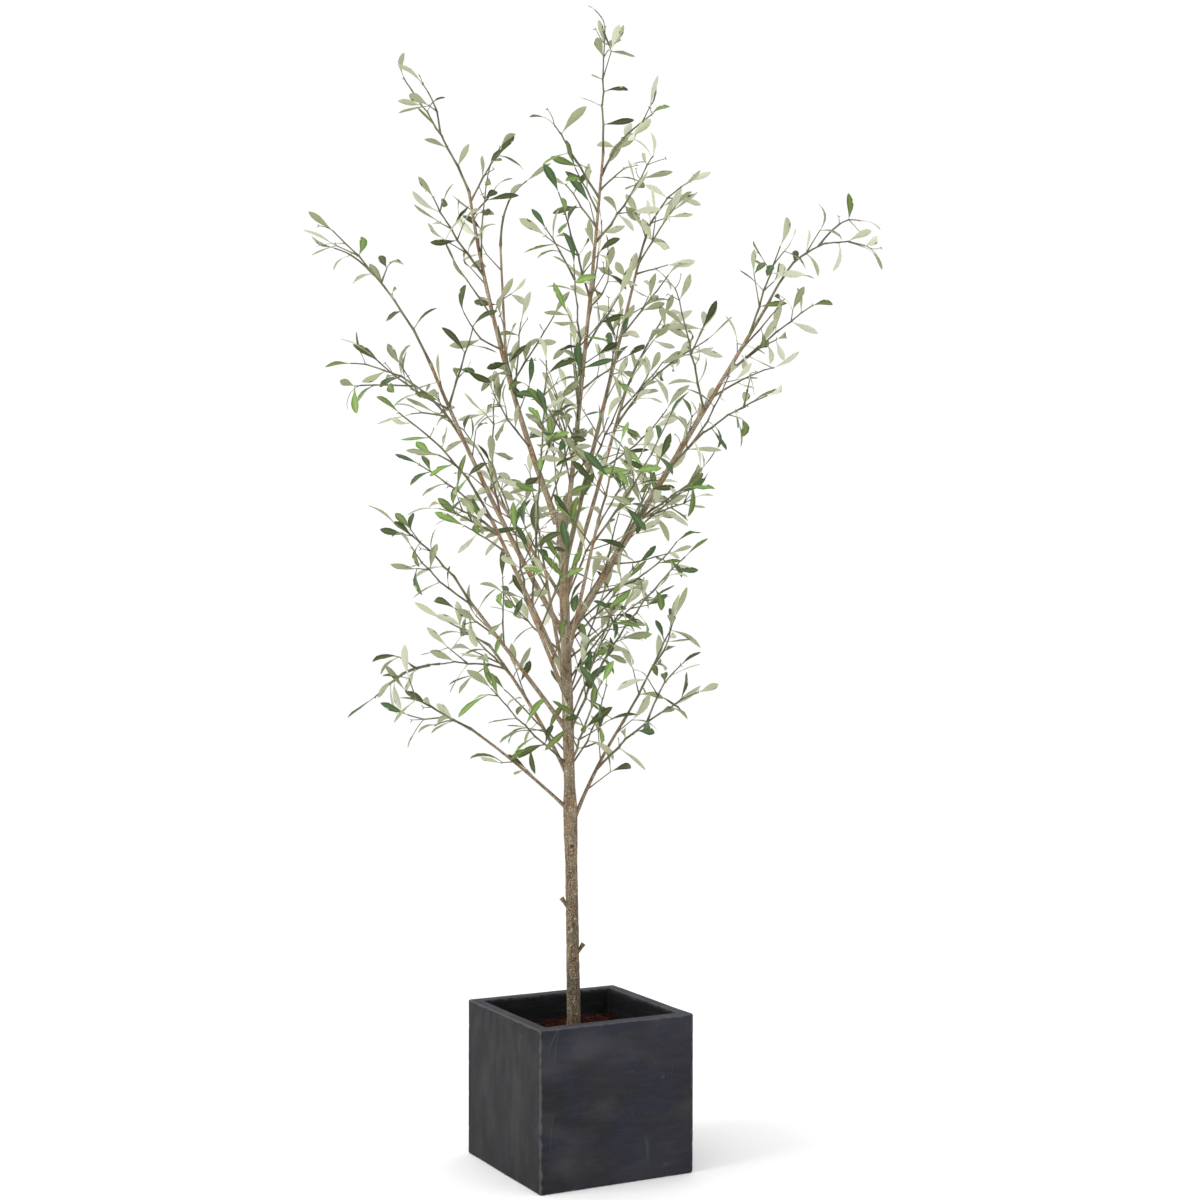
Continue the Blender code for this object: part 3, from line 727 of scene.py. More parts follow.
class EffectGroup(Shading):
    """The node group of a shared effect in the making, with a method for each effect."""

    BUILT: dict[Effect, Tree] = {}

    @classmethod
    def of(cls, effect: Effect) -> Tree:
        """Look up an effect, and build it when it is first asked for.

        Args:
            effect: which effect.

        Returns:
            Its node group.
        """
        if effect not in cls.BUILT:
            cls.BUILT[effect] = bpy.data.node_groups.new(effect.value, "ShaderNodeTree")
            getattr(cls(cls.BUILT[effect]), effect.value)()
        return cls.BUILT[effect]

    def clouds(self) -> None:
        """Noise between a low and a high level, stretched to 0 to 1."""
        given = self.group_inputs(Scale=10.0, Detail=3.0, Low=0.4, High=0.6)
        noise = self.noise(given["Vector"], given["Scale"], given["Detail"])
        self.group_outputs(Mask=self.level(noise.outputs["Fac"], (given["Low"], given["High"])))

    def specks(self) -> None:
        """Spots round the cell points of a Voronoi pattern, broken up by fine noise."""
        given = self.group_inputs(Scale=200.0, Size=0.3)
        cells = self.node("TexVoronoi", {"Vector": given["Vector"], "Scale": given["Scale"]})
        noise = self.noise(given["Vector"], given["Scale"], 1.0)
        reach = self.times(noise.outputs["Fac"], given["Size"])
        near = self.maths("SUBTRACT", reach, cells.outputs["Distance"])
        self.group_outputs(Mask=self.level(near, (0.0, 0.08)))

    def grain(self) -> None:
        """Noise drawn out along the third axis by Stretch."""
        given = self.group_inputs(Scale=300.0, Stretch=0.3)
        squeeze = self.node("CombineXYZ", {0: 1.0, 1: 1.0, 2: given["Stretch"]})
        drawn = self.node("VectorMath", {0: given["Vector"], 1: squeeze.outputs[0]}, operation="MULTIPLY")
        height = self.noise(drawn.outputs[0], given["Scale"], 4.0, 0.6).outputs["Fac"]
        self.group_outputs(Mask=self.level(height, (0.35, 0.65)), Height=height)

    def lines(self) -> None:
        """The borders of Voronoi cells, bent a little by noise."""
        given = self.group_inputs(Scale=5.0, Width=0.01)
        noise = self.noise(given["Vector"], given["Scale"], 2.0)
        bent = self.node("VectorMath", {0: noise.outputs["Color"], 1: (0.35,) * 3, 2: given["Vector"]},
                         operation="MULTIPLY_ADD")
        cells = self.node("TexVoronoi", {"Vector": bent.outputs[0], "Scale": given["Scale"]},
                          feature="DISTANCE_TO_EDGE")
        mask = self.level(cells.outputs["Distance"], (0.0, given["Width"]), (1.0, 0.0))
        self.group_outputs(Mask=mask)


class Coating(Shading):
    """A Principled material in the making. Its place is the Object coordinates."""

    def __init__(self, name: str, roughness: float, specular: float) -> None:
        """Start with a plain material.

        Args:
            name: the material's name.
            roughness: its plain roughness.
            specular: its specular level.
        """
        self.material = bpy.data.materials.new(name)
        self.material.use_nodes = True
        super().__init__(self.material.node_tree)
        self.shader = self.tree.nodes["Principled BSDF"]
        self.shader.inputs["Roughness"].default_value = roughness
        self.shader.inputs["Specular IOR Level"].default_value = specular
        self.place = self.node("TexCoord", {}).outputs["Object"]

    def mark(self, name: str, output: str = "Fac") -> Socket:
        """A mesh attribute of the piece's own."""
        return self.node("Attribute", {}, attribute_name=name).outputs[output]

    def stretched(self, *scale: float) -> Socket:
        """The place, scaled along each axis."""
        return self.node("Mapping", {"Vector": self.place, "Scale": scale}).outputs[0]

    def effect(self, effect: Effect, vector: Socket, **values: float) -> Sequence[Socket]:
        """The outputs of a shared effect that follows a vector, with its other inputs by name."""
        return self.node("Group", {"Vector": vector, **values}, node_tree=EffectGroup.of(effect)).outputs

    def clouds(self, vector: Socket, scale: float, detail: float, low: float, high: float) -> Socket:
        """Soft patches where noise of a scale and detail rises from a low to a high level."""
        return self.effect(Effect.CLOUDS, vector, Scale=scale, Detail=detail, Low=low, High=high)[0]

    def specks(self, vector: Socket, scale: float, size: float) -> Socket:
        """Small scattered spots."""
        return self.effect(Effect.SPECKS, vector, Scale=scale, Size=size)[0]

    def feed(self, colour: Socket | None = None, height: Socket | None = None, depth: float = 0.0,
             roughness: Socket | None = None) -> Material:
        """Feed the shader.

        Args:
            colour: its base colour.
            height: the height of its fine relief, 0 to 1.
            depth: how many metres a height of 1 stands for.
            roughness: its roughness, where that varies.

        Returns:
            The finished material.
        """
        feeds = {"Base Color": colour, "Roughness": roughness}
        if height is not None:
            bump = self.node("Bump", {"Strength": 1.0, "Height": height, "Distance": depth})
            feeds["Normal"] = bump.outputs["Normal"]
        for name, socket in feeds.items():
            if socket is not None:
                self.tree.links.new(socket, self.shader.inputs[name])
        return self.material


# -------- finishes
@dataclass(frozen=True)
class FibreClay:
    """Charcoal fibre clay: cloudy and brushed, scratched, rubbed pale along its edges.

    Painted shade darkens its left face and turns its inside near black.
    """

    dark: Colour = linear(12, 13, 19)
    light: Colour = linear(36, 36, 42)
    blue: Colour = linear(27, 30, 50)
    smudge: Colour = linear(64, 63, 66)
    rubbed: Colour = linear(84, 85, 87)
    scratch: Colour = linear(118, 118, 120)
    # Painted shade: the near black of the inside, where little light falls.
    within: Colour = linear(9, 10, 12)
    painted_side_shade: Colour = (0.54, 0.52, 0.48, 1.0)  # painted shade: how much of its colour the left (-X) face keeps
    relief: float = 0.00025

    def material(self) -> Material:
        """The finish as a material, on a piece marked with its edge, and its side and inside for painted
        shade.

        Returns:
            The material.
        """
        coat = Coating("fibre_clay", 0.66, 0.18)
        place = coat.place
        side = coat.mark("side")
        wide = coat.stretched(2.6, 9.0, 5.0)
        broad = coat.clouds(wide, 1.3, 4.0, 0.36, 0.66)
        fine = coat.clouds(place, 900.0, 2.0, 0.3, 0.7)
        level_strokes = coat.clouds(coat.stretched(20.0, 20.0, 110.0), 1.0, 4.0, 0.48, 0.72)
        upright_strokes = coat.clouds(coat.stretched(42.0, 42.0, 12.0), 1.0, 7.0, 0.45, 0.68)
        strokes = coat.mix(side, level_strokes, upright_strokes)
        brushing = coat.times(strokes, coat.maths("MULTIPLY_ADD", side, 0.37, 0.15))
        specks = coat.specks(place, 260.0, 0.26)
        scuffs = coat.clouds(coat.stretched(20.0, 34.0, 30.0), 1.0, 6.0, 0.66, 0.76)
        lines = coat.effect(Effect.LINES, coat.stretched(9.0, 9.0, 3.2), Scale=1.0, Width=0.007)[0]
        scratches = coat.times(lines, coat.clouds(place, 13.0, 2.0, 0.56, 0.68))
        colour = coat.layered(
            coat.mix(broad, self.dark, self.light),
            (coat.clouds(place, 15.0, 3.0, 0.44, 0.62), 0.5, self.blue),
            (coat.clouds(wide, 3.1, 6.0, 0.48, 0.74), 0.6, self.smudge),
            (brushing, 1.0, self.smudge),
            (fine, 0.14, self.rubbed),
            (specks, 0.35, self.dark),
            (scuffs, 0.22, self.scratch),
            (scratches, 0.14, self.scratch),
        )
        # Painted shade: the left (-X) face is darkened, standing in for less light falling on it.
        colour = coat.mix(side, colour, self.painted_side_shade, blend="MULTIPLY")
        ragged = coat.clouds(place, 75.0, 5.0, 0.25, 0.75)
        ragged = coat.maths("MULTIPLY_ADD", ragged, 0.75, coat.mark("edge"))
        worn = coat.times(coat.maths("SUBTRACT", ragged, 0.68), 2.2)
        # Painted shade inside the tub, near black, with real scuffs, strokes and specks laid over it.
        inside = coat.layered(self.within, (scuffs, 0.8, self.rubbed), (strokes, 0.22, self.smudge),
                              (specks, 0.4, self.rubbed))
        colour = coat.layered(colour, (worn, 0.85, self.rubbed), (coat.mark("within"), 0.93, inside))
        return coat.feed(colour, fine, self.relief, coat.level(broad, wanted=(0.55, 0.72)))


@dataclass(frozen=True)
class Coir:
    """Shredded coir in one of a few browns."""

    name: str
    dark: Colour
    light: Colour
    relief: float = 0.0006

    def material(self) -> Material:
        """The finish as a material.

        Returns:
            The material.
        """
        coat = Coating(self.name, 0.95, 0.05)
        fine = coat.clouds(coat.place, 420.0, 4.0, 0.35, 0.65)
        patches = coat.clouds(coat.place, 45.0, 2.0, 0.35, 0.65)
        share = coat.maths("MULTIPLY_ADD", patches, 0.5, coat.times(fine, 0.5))
        return coat.feed(coat.mix(share, self.dark, self.light), fine, self.relief)


@dataclass(frozen=True)
class Bark:
    """Moulded bark: a mottled brown with pale flecks on its ridges and dark hollows."""

    name: str
    dark: Colour
    middle: Colour
    light: Colour
    warm: Colour
    scale: float                 # of its streaks, to the metre
    pale: Colour = linear(224, 218, 202)
    painted_foot_shade: float = 0.0      # how much darker the bark is by the filling, as painted shade
    foot_span: tuple[float, float] = (0.55, 0.26)       # heights over which it darkens
    crown_tint: float = 0.0      # how much lighter and warmer it is up in the crown
    tint_span: tuple[float, float] = (0.70, 1.00)       # heights over which it lightens
    crest_shade: float = 0.0     # how much darker it is again just under the trunk's cut top
    crest_span: tuple[float, float] = (1.04, 1.10)      # heights over which it darkens again
    crust: float = 0.0           # how strong its small white flecks are
    fissures: float = 0.2        # how dark its long fissures are
    relief: float = 0.0012

    def material(self) -> Material:
        """The finish as a material, on a piece marked with its grain and its relief.

        Returns:
            The material.
        """
        coat = Coating(self.name, 0.85, 0.2)
        grain = coat.mark("grain", "Vector")
        relief = coat.mark("relief")
        streaks = coat.effect(Effect.GRAIN, grain, Scale=self.scale, Stretch=0.72)
        long = coat.effect(Effect.GRAIN, grain, Scale=self.scale * 0.7, Stretch=0.07)
        broad = coat.clouds(grain, 55.0, 3.0, 0.38, 0.64)
        patches = coat.clouds(grain, 26.0, 4.0, 0.44, 0.60)
        body = coat.mix(patches, self.middle, self.warm)
        ridge = coat.times(coat.maths("SUBTRACT", relief, 0.55), 1.3)
        hollow = coat.times(coat.maths("SUBTRACT", 0.42, relief), 2.4)
        split = coat.times(coat.maths("SUBTRACT", 0.46, long["Mask"]), 2.4)
        height = coat.node("SeparateXYZ", {0: coat.place}).outputs[2]
        high = coat.level(height, self.tint_span, (0.0, self.crown_tint))
        # Painted shade at the foot, where the planter's walls keep light off.
        low = coat.level(height, self.foot_span, (0.0, self.painted_foot_shade))
        crest = coat.level(height, self.crest_span, (0.0, self.crest_shade))
        colour = coat.layered(
            coat.mix(streaks["Mask"], self.dark, body),
            (broad, 0.5, body),
            (coat.specks(grain, self.scale * 0.8, 0.55), 0.7, self.light),
            (coat.specks(grain, self.scale * 0.55, 0.5), 0.65, self.dark),
            (ridge, 1.0, self.light),
            (hollow, 1.0, self.dark),
            (high, 1.0, coat.mix(patches, self.light, self.warm)),
            (split, self.fissures, self.dark),
            # The painted shade at the foot, and the darkening just under the cut top.
            (coat.maths("ADD", low, crest), 1.0, self.dark),
            (coat.times(coat.specks(grain, self.scale * 0.5, 0.42), broad), self.crust, self.pale),
        )
        return coat.feed(colour, streaks["Height"], self.relief)


@dataclass(frozen=True)
class Stalk:
    """Moulded green stalk, greyer and darker in places."""

    name: str
    dark: Colour
    light: Colour
    relief: float = 0.0002

    def material(self) -> Material:
        """The finish as a material.

        Returns:
            The material.
        """
        coat = Coating(self.name, 0.6, 0.3)
        broad = coat.clouds(coat.place, 38.0, 3.0, 0.36, 0.64)
        fine = coat.clouds(coat.place, 700.0, 2.0, 0.3, 0.7)
        return coat.feed(coat.mix(broad, self.dark, self.light), fine, self.relief)


@dataclass(frozen=True)
class LeafFace:
    """One side of a leaf: a plain colour under a fine printed weave."""

    name: str
    colour: Colour
    roughness: float
    spread: float = 0.08         # how far the weave moves the roughness either way
    relief: float = 0.00015

    def material(self) -> Material:
        """The finish as a material.

        Returns:
            The material.
        """
        coat = Coating(self.name, self.roughness, 0.2)
        coat.shader.inputs["Base Color"].default_value = self.colour
        weave = coat.clouds(coat.place, 650.0, 2.0, 0.3, 0.7)
        rough = coat.level(weave, wanted=(self.roughness - self.spread, self.roughness + self.spread))
        return coat.feed(height=weave, depth=self.relief, roughness=rough)


@dataclass(frozen=True)
class Backdrop:
    """Plain pale studio floor."""

    pale: Colour = (0.972, 0.972, 0.972, 1.0)
    paler: Colour = (0.980, 0.980, 0.980, 1.0)

    def material(self) -> Material:
        """The finish as a material."""
        coat = Coating("studio_floor", 0.9, 0.1)
        return coat.feed(coat.mix(coat.clouds(coat.place, 4.0, 2.0, 0.4, 0.6), self.pale, self.paler))


class LeafShade(Enum):
    """A leaf's colouring: top, rib, underside and margin, as screen colours of 0 to 255."""

    DEEP = ((67, 77, 40), (90, 98, 57), (156, 160, 126), (58, 70, 38))
    BLUISH = ((76, 99, 60), (98, 118, 78), (170, 174, 142), (66, 89, 55))
    MID = ((100, 118, 60), (122, 138, 80), (182, 185, 153), (86, 105, 54))
    BRIGHT = ((119, 146, 77), (142, 164, 96), (192, 196, 166), (102, 132, 65))
    SAGE = ((144, 151, 114), (160, 165, 130), (202, 204, 180), (132, 140, 106))

    def materials(self) -> list[Material]:
        """The materials of the shade: top, rib, underside and margin."""
        parts = zip(("top", "rib", "underside", "margin"), self.value, (0.5, 0.55, 0.75, 0.5))
        return [LeafFace(f"leaf_{self.name.lower()}_{part}", linear(*colour), roughness).material()
                for part, colour, roughness in parts]


# -------- planter
@dataclass
class Planter:
    """A square tub of fibre clay with slightly uneven walls and rubbed, chipped edges."""

    side: float = PLANTER_SIDE
    height: float = PLANTER_HEIGHT
    wall: float = PLANTER_WALL
    floor: float = PLANTER_FLOOR
    edge: float = 0.003            # rounding of the outer edges
    lip: float = 0.002             # rounding of the rim's inner edge
    corner: float = 0.005          # rounding of the inner corners
    middle: float = 0.004          # half width of the ring nearest the middle, below and within
    unevenness: float = 0.0005
    swells: tuple[float, float] = (0.085, 0.023)        # pitches of the unevenness
    chip: float = 0.00045
    chip_pitch: float = 0.0075
    wear_width: float = 0.0045
    along_side: int = 72           # steps along each side
    round_corner: int = 8          # steps round each corner

    def profile(self) -> tuple[Array, Array, Array]:
        """The wall's section, from the middle of the underside, up outside, over the rim and down inside.

        Returns:
            Distance from the middle, height and corner radius at each step. Straight stretches are evenly
            stepped, and each rounding is a quarter circle.
        """
        half = self.side / 2
        inner = half - self.wall
        start, crown = half - self.edge, self.height - self.edge
        sine = np.sin(np.linspace(0.0, math.pi / 2, 6))
        cosine = np.cos(np.linspace(0.0, math.pi / 2, 6))
        stretches = (
            (np.linspace(self.middle, start, 12)[:-1], 0.0),
            (start + self.edge * sine, self.edge * (1.0 - cosine)),
            (half, np.linspace(self.edge, crown, 96)[1:-1]),
            (start + self.edge * cosine, crown + self.edge * sine),
            (np.linspace(start, inner + self.lip, 8)[1:-1], self.height),
            (inner + self.lip * (1.0 - sine), self.height - self.lip * (1.0 - cosine)),
            (inner, np.linspace(self.height - self.lip, self.floor, 40)[1:]),
            (np.linspace(inner, self.middle, 8)[1:], self.floor),
        )
        steps = [np.stack(np.broadcast_arrays(reach, height)) for reach, height in stretches]
        out, up = np.concatenate(steps, axis=1)
        walked = np.cumsum(np.abs(np.diff(out, prepend=out[0])) + np.abs(np.diff(up, prepend=up[0])))
        radius = np.where(walked < half + self.height, self.edge, self.corner)
        return out, up, np.minimum(radius, out * 0.5)

    def outline(self, reach: Array, radius: Array) -> Array:
        """Rounded squares: one side and one quarter circle, turned four times.

        Args:
            reach: (k,) half widths.
            radius: (k,) corner radii.

        Returns:
            (k, m, 2) places, anticlockwise seen from above.
        """
        straight = np.linspace(-1.0, 1.0, self.along_side, endpoint=False)
        arc = np.linspace(0.0, math.pi / 2, self.round_corner, endpoint=False)
        flat = (reach - radius)[:, None]
        along = np.concatenate((straight * flat, flat + radius[:, None] * np.sin(arc)), axis=1)
        across = np.concatenate((np.broadcast_to(reach[:, None], (len(reach), len(straight))),
                                 flat + radius[:, None] * np.cos(arc)), axis=1)
        quarter = np.stack((across, along), axis=-1)
        turn = np.array(((0.0, 1.0), (-1.0, 0.0)))
        turns = [np.linalg.matrix_power(turn, number) for number in range(4)]
        return np.concatenate([quarter @ turn for turn in turns], axis=1)

    def wear(self, points: Array) -> tuple[dict[str, Array], Array]:
        """Where the tub is rubbed, and where shade is painted on its left face and inside, as smooth bands.

        Args:
            points: (rings, sides, 3) vertices.

        Returns:
            Masks of 0 to 1, by name: its rubbed edge; its left side, which takes painted shade and upright
            strokes; and its inside, which is painted near black as shade. Then the edges that chip.
        """
        half = self.side / 2
        up = points[..., 2]
        around = np.abs(points[..., :2]).max(axis=-1)
        lesser = np.abs(points[..., :2]).min(axis=-1)
        outer = smooth_step(around, half - 0.006, half - 0.002)
        upright = outer * fade_out(half - lesser, self.edge * 0.6, self.wear_width)
        top = fade_out(np.abs(self.height - up), 0.0008, self.wear_width)
        outside = fade_out(half - around, 0.0012, 0.0035)
        inside = 0.7 * fade_out(np.abs(around - half + self.wall), 0.0008, 0.003)
        rim = top * np.maximum(outside, inside) * (up > self.floor + 0.01)
        foot = outer * fade_out(up, 0.001, self.wear_width)
        edge = np.clip(np.maximum(np.maximum(0.7 * upright, rim), 0.4 * foot), 0.0, 1.0)
        # The left (-X) face, where shade is painted and the strokes run upright.
        side = smooth_step(-points[..., 0], half - 0.004, half - 0.001) * outer
        # The inside below the rim, which is painted near black as shade.
        depth = smooth_step(self.height - up, 0.0015, 0.006)
        within = depth * (around < half - self.wall + 0.001) * (up > self.floor - 0.001)
        return {"edge": edge, "within": within, "side": side}, np.maximum(upright, rim)

    def build(self) -> Piece:
        """Carry the section round the square, roughen it and chip its edges.

        Returns:
            The planter.
        """
        reach, up, radius = self.profile()
        flat = self.outline(reach, radius)
        points = np.concatenate((flat, np.broadcast_to(up[:, None, None], (*flat.shape[:2], 1))), axis=-1)
        marks, brittle = self.wear(points)
        rough = Lattice("planter")
        broad, narrow = self.swells
        uneven = self.unevenness * rough.at(points, broad) + 0.3 * self.unevenness * rough.at(points, narrow)
        chips = smooth_step(rough.at(points + 3.0, self.chip_pitch), 0.35, 0.9) * self.chip * brittle
        normal = unit(np.cross(np.gradient(points, axis=1), np.gradient(points, axis=0)))
        move = np.where(points[..., 2] < self.unevenness, 0.0, uneven - chips)
        shifted = points + normal * move[..., None]
        shifted[..., 2] = np.clip(shifted[..., 2], 0.0, self.height + self.unevenness)
        marks = {name: np.append(values, (values[0, 0], values[-1, 0])) for name, values in marks.items()}
        mesh = PieceMesh()
        mesh.add(*fanned_tube(shifted), **marks)
        return dress(mesh.build("planter_shell", [FibreClay().material()], sharp=70.0), "planter", "planter")


# -------- filling
@dataclass
class Filling:
    """Coir in the planter: an uneven bed with crumbs and fibres lying on it."""

    half: float = PLANTER_SIDE / 2 - PLANTER_WALL - GAP
    level: float = SOIL_LEVEL
    swell: float = 0.006
    flat: float = 0.030              # radius of the level patch round the trunk
    cells: int = 130
    margin: float = 0.006            # what lies loose keeps this far from the walls
    clearance: float = 0.017         # and this far from the trunk's middle
    crumbs: int = 3200
    fibres: int = 420
    fibre_steps: int = 8

    def height(self, place: Array) -> Array:
        """Height of the bed.

        Args:
            place: (..., 2) places in plan.

        Returns:
            The level plus broad swells, humps and grit, which fade towards the trunk's foot.
        """
        away = np.linalg.norm(place - self.foot(), axis=-1)
        fade = 0.25 + 0.75 * smooth_step(away, self.flat * 0.5, self.flat * 1.6)
        spots = np.concatenate((place, np.zeros((*place.shape[:-1], 1))), axis=-1)
        rough = Lattice("filling")
        hump = rough.at(spots, 0.045) + 0.5 * rough.at(spots + 1.0, 0.017)
        grit = 0.35 * rough.at(spots + 2.0, 0.0062) + 0.25 * rough.at(spots + 3.0, 0.0031)
        return self.level + self.swell * 0.55 * fade * hump + self.swell * 0.45 * grit * (0.4 + 0.6 * fade)

    @staticmethod
    def foot() -> Array:
        """The middle of the trunk's foot, in plan."""
        return turned(np.array((*TRUNK_FOOT, 0.0)))[:2]

    def bed(self) -> PieceMesh:
        """A square block whose top is a grid at the bed's height.

        Returns:
            The block.
        """
        steps = np.linspace(-self.half, self.half, self.cells + 1)
        place = np.stack(np.meshgrid(steps, steps, indexing="ij"), axis=-1)
        top = np.concatenate((place, self.height(place)[..., None]), axis=-1).reshape(-1, 3)
        number = np.arange(len(top)).reshape(place.shape[:2])
        rim = np.concatenate((number[:-1, 0], number[-1, :-1], number[:0:-1, -1], number[0, :0:-1]))
        low = top[rim].copy()
        low[:, 2] = PLANTER_FLOOR + GAP
        skirt = len(top) + np.arange(len(rim))
        sides = np.stack((rim, skirt, np.roll(skirt, -1), np.roll(rim, -1)), axis=-1)
        mesh = PieceMesh()
        mesh.add(np.concatenate((top, low)), [(grid_faces(number), 0), (sides, 0), (skirt[None, ::-1], 0)])
        return mesh

    def scatter(self, random: Random, count: int) -> Array:
        """Places strewn over the bed, clear of the trunk and the walls.

        Args:
            random: source of the places.
            count: how many at most.

        Returns:
            (n, 3) places on the bed.
        """
        limit = self.half - self.margin
        place = random.uniform(-limit, limit, (count * 2, 2))
        place = place[np.linalg.norm(place - self.foot(), axis=-1) > self.clearance][:count]
        return np.concatenate((place, self.height(place)[:, None]), axis=-1)

    def crumb_mesh(self) -> PieceMesh:
        """Crumbs: octahedra with uneven corners, each stretched and turned at random.

        Returns:
            The crumbs, in three slots.
        """
        random = seed_of("crumbs")
        places = self.scatter(random, self.crumbs)
        count = len(places)
        corners = np.array(((1, 0, 0), (0, 1, 0), (-1, 0, 0), (0, -1, 0), (0, 0, 1), (0, 0, -1)), dtype=float)
        shape = corners[None] * random.uniform(0.6, 1.25, (count, 6, 1))
        size = random.gamma(3.0, 0.00075, (count, 1, 1)) + 0.0009
        shape = shape * size * random.uniform((0.7, 0.5, 0.3), (1.9, 1.0, 0.8), (count, 3))[:, None, :]
        spin = random.uniform(0.0, TURN, count)
        tilt = random.normal(0.0, 0.5, count)
        cos_spin, sin_spin, cos_tilt, sin_tilt = np.cos(spin), np.sin(spin), np.cos(tilt), np.sin(tilt)
        turn = np.array(((cos_spin, -sin_spin * cos_tilt, sin_spin * sin_tilt),
                         (sin_spin, cos_spin * cos_tilt, -cos_spin * sin_tilt),
                         (np.zeros(count), sin_tilt, cos_tilt)))
        points = np.einsum("ijn,nkj->nki", turn, shape) + places[:, None, :]
        side = np.arange(4)
        after = (side + 1) % 4
        upper = np.stack((side, after, np.full(4, 4)), axis=-1)
        lower = np.stack((after, side, np.full(4, 5)), axis=-1)
        faces = np.concatenate((upper, lower))[None] + 6 * np.arange(count)[:, None, None]
        mesh = PieceMesh()
        mesh.add(points, [(faces.reshape(-1, 3), np.repeat(random.integers(0, 3, count), 8))])
        return mesh

    def fibre_mesh(self) -> PieceMesh:
        """Fibres: thin three-sided strands that lie in a shallow curve over the bed.

        Returns:
            The fibres.
        """
        random = seed_of("fibres")
        mesh = PieceMesh()
        limit = self.half - 0.002
        steps = np.linspace(-0.5, 0.5, self.fibre_steps)
        for place in self.scatter(random, self.fibres):
            heading, bend = random.uniform(0.0, TURN), random.normal(0.0, 0.9)
            length = random.uniform(0.010, 0.032)
            angle = heading + bend * steps
            path = np.cumsum(np.stack((np.cos(angle), np.sin(angle)), axis=-1), axis=0) * length / len(steps)
            spots = np.clip(place[:2] + path - path.mean(axis=0), -limit, limit)
            lift = 0.0008 + 0.0022 * random.uniform() * np.cos(math.pi * steps)
            line = np.concatenate((spots, (self.height(spots) + lift)[:, None]), axis=-1)
            radii = random.uniform(0.00025, 0.0006) * (1.0 - 1.6 * steps ** 2)
            mesh.tube(line, radii, 3)
        return mesh

    def build(self) -> list[Piece]:
        """Make the bed, the crumbs and the fibres.

        Returns:
            The three pieces.
        """
        black = Coir("coir_black", linear(16, 8, 7), linear(32, 17, 14)).material()
        brown = Coir("coir_brown", linear(26, 13, 11), linear(50, 27, 22)).material()
        red = Coir("coir_red", linear(46, 22, 17), linear(82, 45, 35)).material()
        bed = self.bed().build("coir_bed", [brown])
        crumbs = self.crumb_mesh().build("coir_crumbs", [black, brown, red], sharp=30.0)
        fibres = self.fibre_mesh().build("coir_fibres", [red])
        return [dress(bed, "filling", "soil"), dress(crumbs, "filling"), dress(fibres, "filling")]


# -------- bark
@dataclass
class BarkSleeve:
    """Bark round a centre line: a fine grid, pushed in and out by fissures, lumps and scars."""

    name: str
    sides: int
    pitch: float            # spacing of the rings
    depth: float            # depth of the relief
    scars: float = 0.0      # scars to the metre

    def relief(self, straight: Array, length: float) -> Array:
        """Height of the bark over its mean surface.

        Args:
            straight: (rings, sides, 3) places on the limb as if it were straight along the third axis.
            length: the limb's length.

        Returns:
            (rings, sides) values of about -1 to 1: noise at three scales, mostly drawn out along the
            limb, with the oval hollows and raised rims of the scars.
        """
        rough = Lattice(self.name)
        drawn = straight * np.array((1.0, 1.0, 0.30))
        height = 0.35 * rough.at(drawn, 0.0070) + 0.50 * rough.at(drawn + 5.0, 0.0032)
        height += 0.30 * rough.at(straight + 9.0, 0.0021)
        random = seed_of(self.name + "_scars")
        angle = np.arctan2(straight[..., 1], straight[..., 0])
        for _ in range(round(self.scars * length)):
            turn, spot = random.uniform(-math.pi, math.pi), random.uniform(0.0, length)
            broad, tall = random.uniform(0.25, 0.5), random.uniform(0.004, 0.010)
            aside = (np.mod(angle - turn + math.pi, TURN) - math.pi) / broad
            oval = np.hypot(aside, (straight[..., 2] - spot) / tall)
            height -= 0.9 * fade_out(oval, 0.3, 1.0) - 0.8 * np.exp(-(oval - 1.2) ** 2 / 0.05)
        return np.clip(height, -1.6, 1.2)

    def lay(self, mesh: PieceMesh, axis: Axis, radii_at: Callable[[Array], Array], first: float = 0.0,
            cap_rings: int = 3, dome: float = 0.0012, end_slot: int = 0) -> None:
        """Add the sleeve and its end to a piece, marked with its grain and its relief.

        Ring k of the end is the last ring drawn to its centre by the share s = 1 - k / (cap_rings + 0.5),
        and raised along the limb by dome * (1 - s^2).

        Args:
            mesh: the piece.
            axis: the centre line.
            radii_at: radii from shares of the length.
            first: share of the length where the bark begins.
            cap_rings: how many rings close the end.
            dome: how far the middle of the end stands out beyond its edge.
            end_slot: the material slot of the end.
        """
        rings = max(6, round(axis.length * (1.0 - first) / self.pitch))
        shares = np.linspace(first, 1.0, rings)
        radii = radii_at(shares)
        angles = TURN * np.arange(self.sides) / self.sides
        straight = np.stack((radii[:, None] * np.cos(angles), radii[:, None] * np.sin(angles),
                             np.broadcast_to((shares * axis.length)[:, None], (rings, self.sides))), axis=-1)
        relief = self.relief(straight, axis.length)
        fade = np.minimum(1.0, radii / 0.006)[:, None]
        points = ring_points(axis.points(shares), radii[:, None] + self.depth * fade * relief, self.sides)
        centre = points[-1].mean(axis=0)
        along = unit(centre - points[-2].mean(axis=0))
        share = 1.0 - np.arange(1, cap_rings + 1)[:, None, None] / (cap_rings + 0.5)
        end = centre + (points[-1] - centre)[None] * share + dome * (1.0 - share ** 2) * along
        flat = straight[-1][None] * np.concatenate((share, share, np.ones_like(share)), axis=-1)
        relief = np.concatenate((relief, np.full((cap_rings, self.sides), 0.5)))
        (tube, _), (caps, _) = closed_tube(len(relief), self.sides)
        slots = np.where(tube[:, 0] // self.sides >= rings, end_slot, 0)
        mesh.add(np.concatenate((points, end)), [(tube, slots), (caps, np.array((0, end_slot)))],
                 grain=np.concatenate((straight, flat)), relief=0.5 + 0.4 * relief)


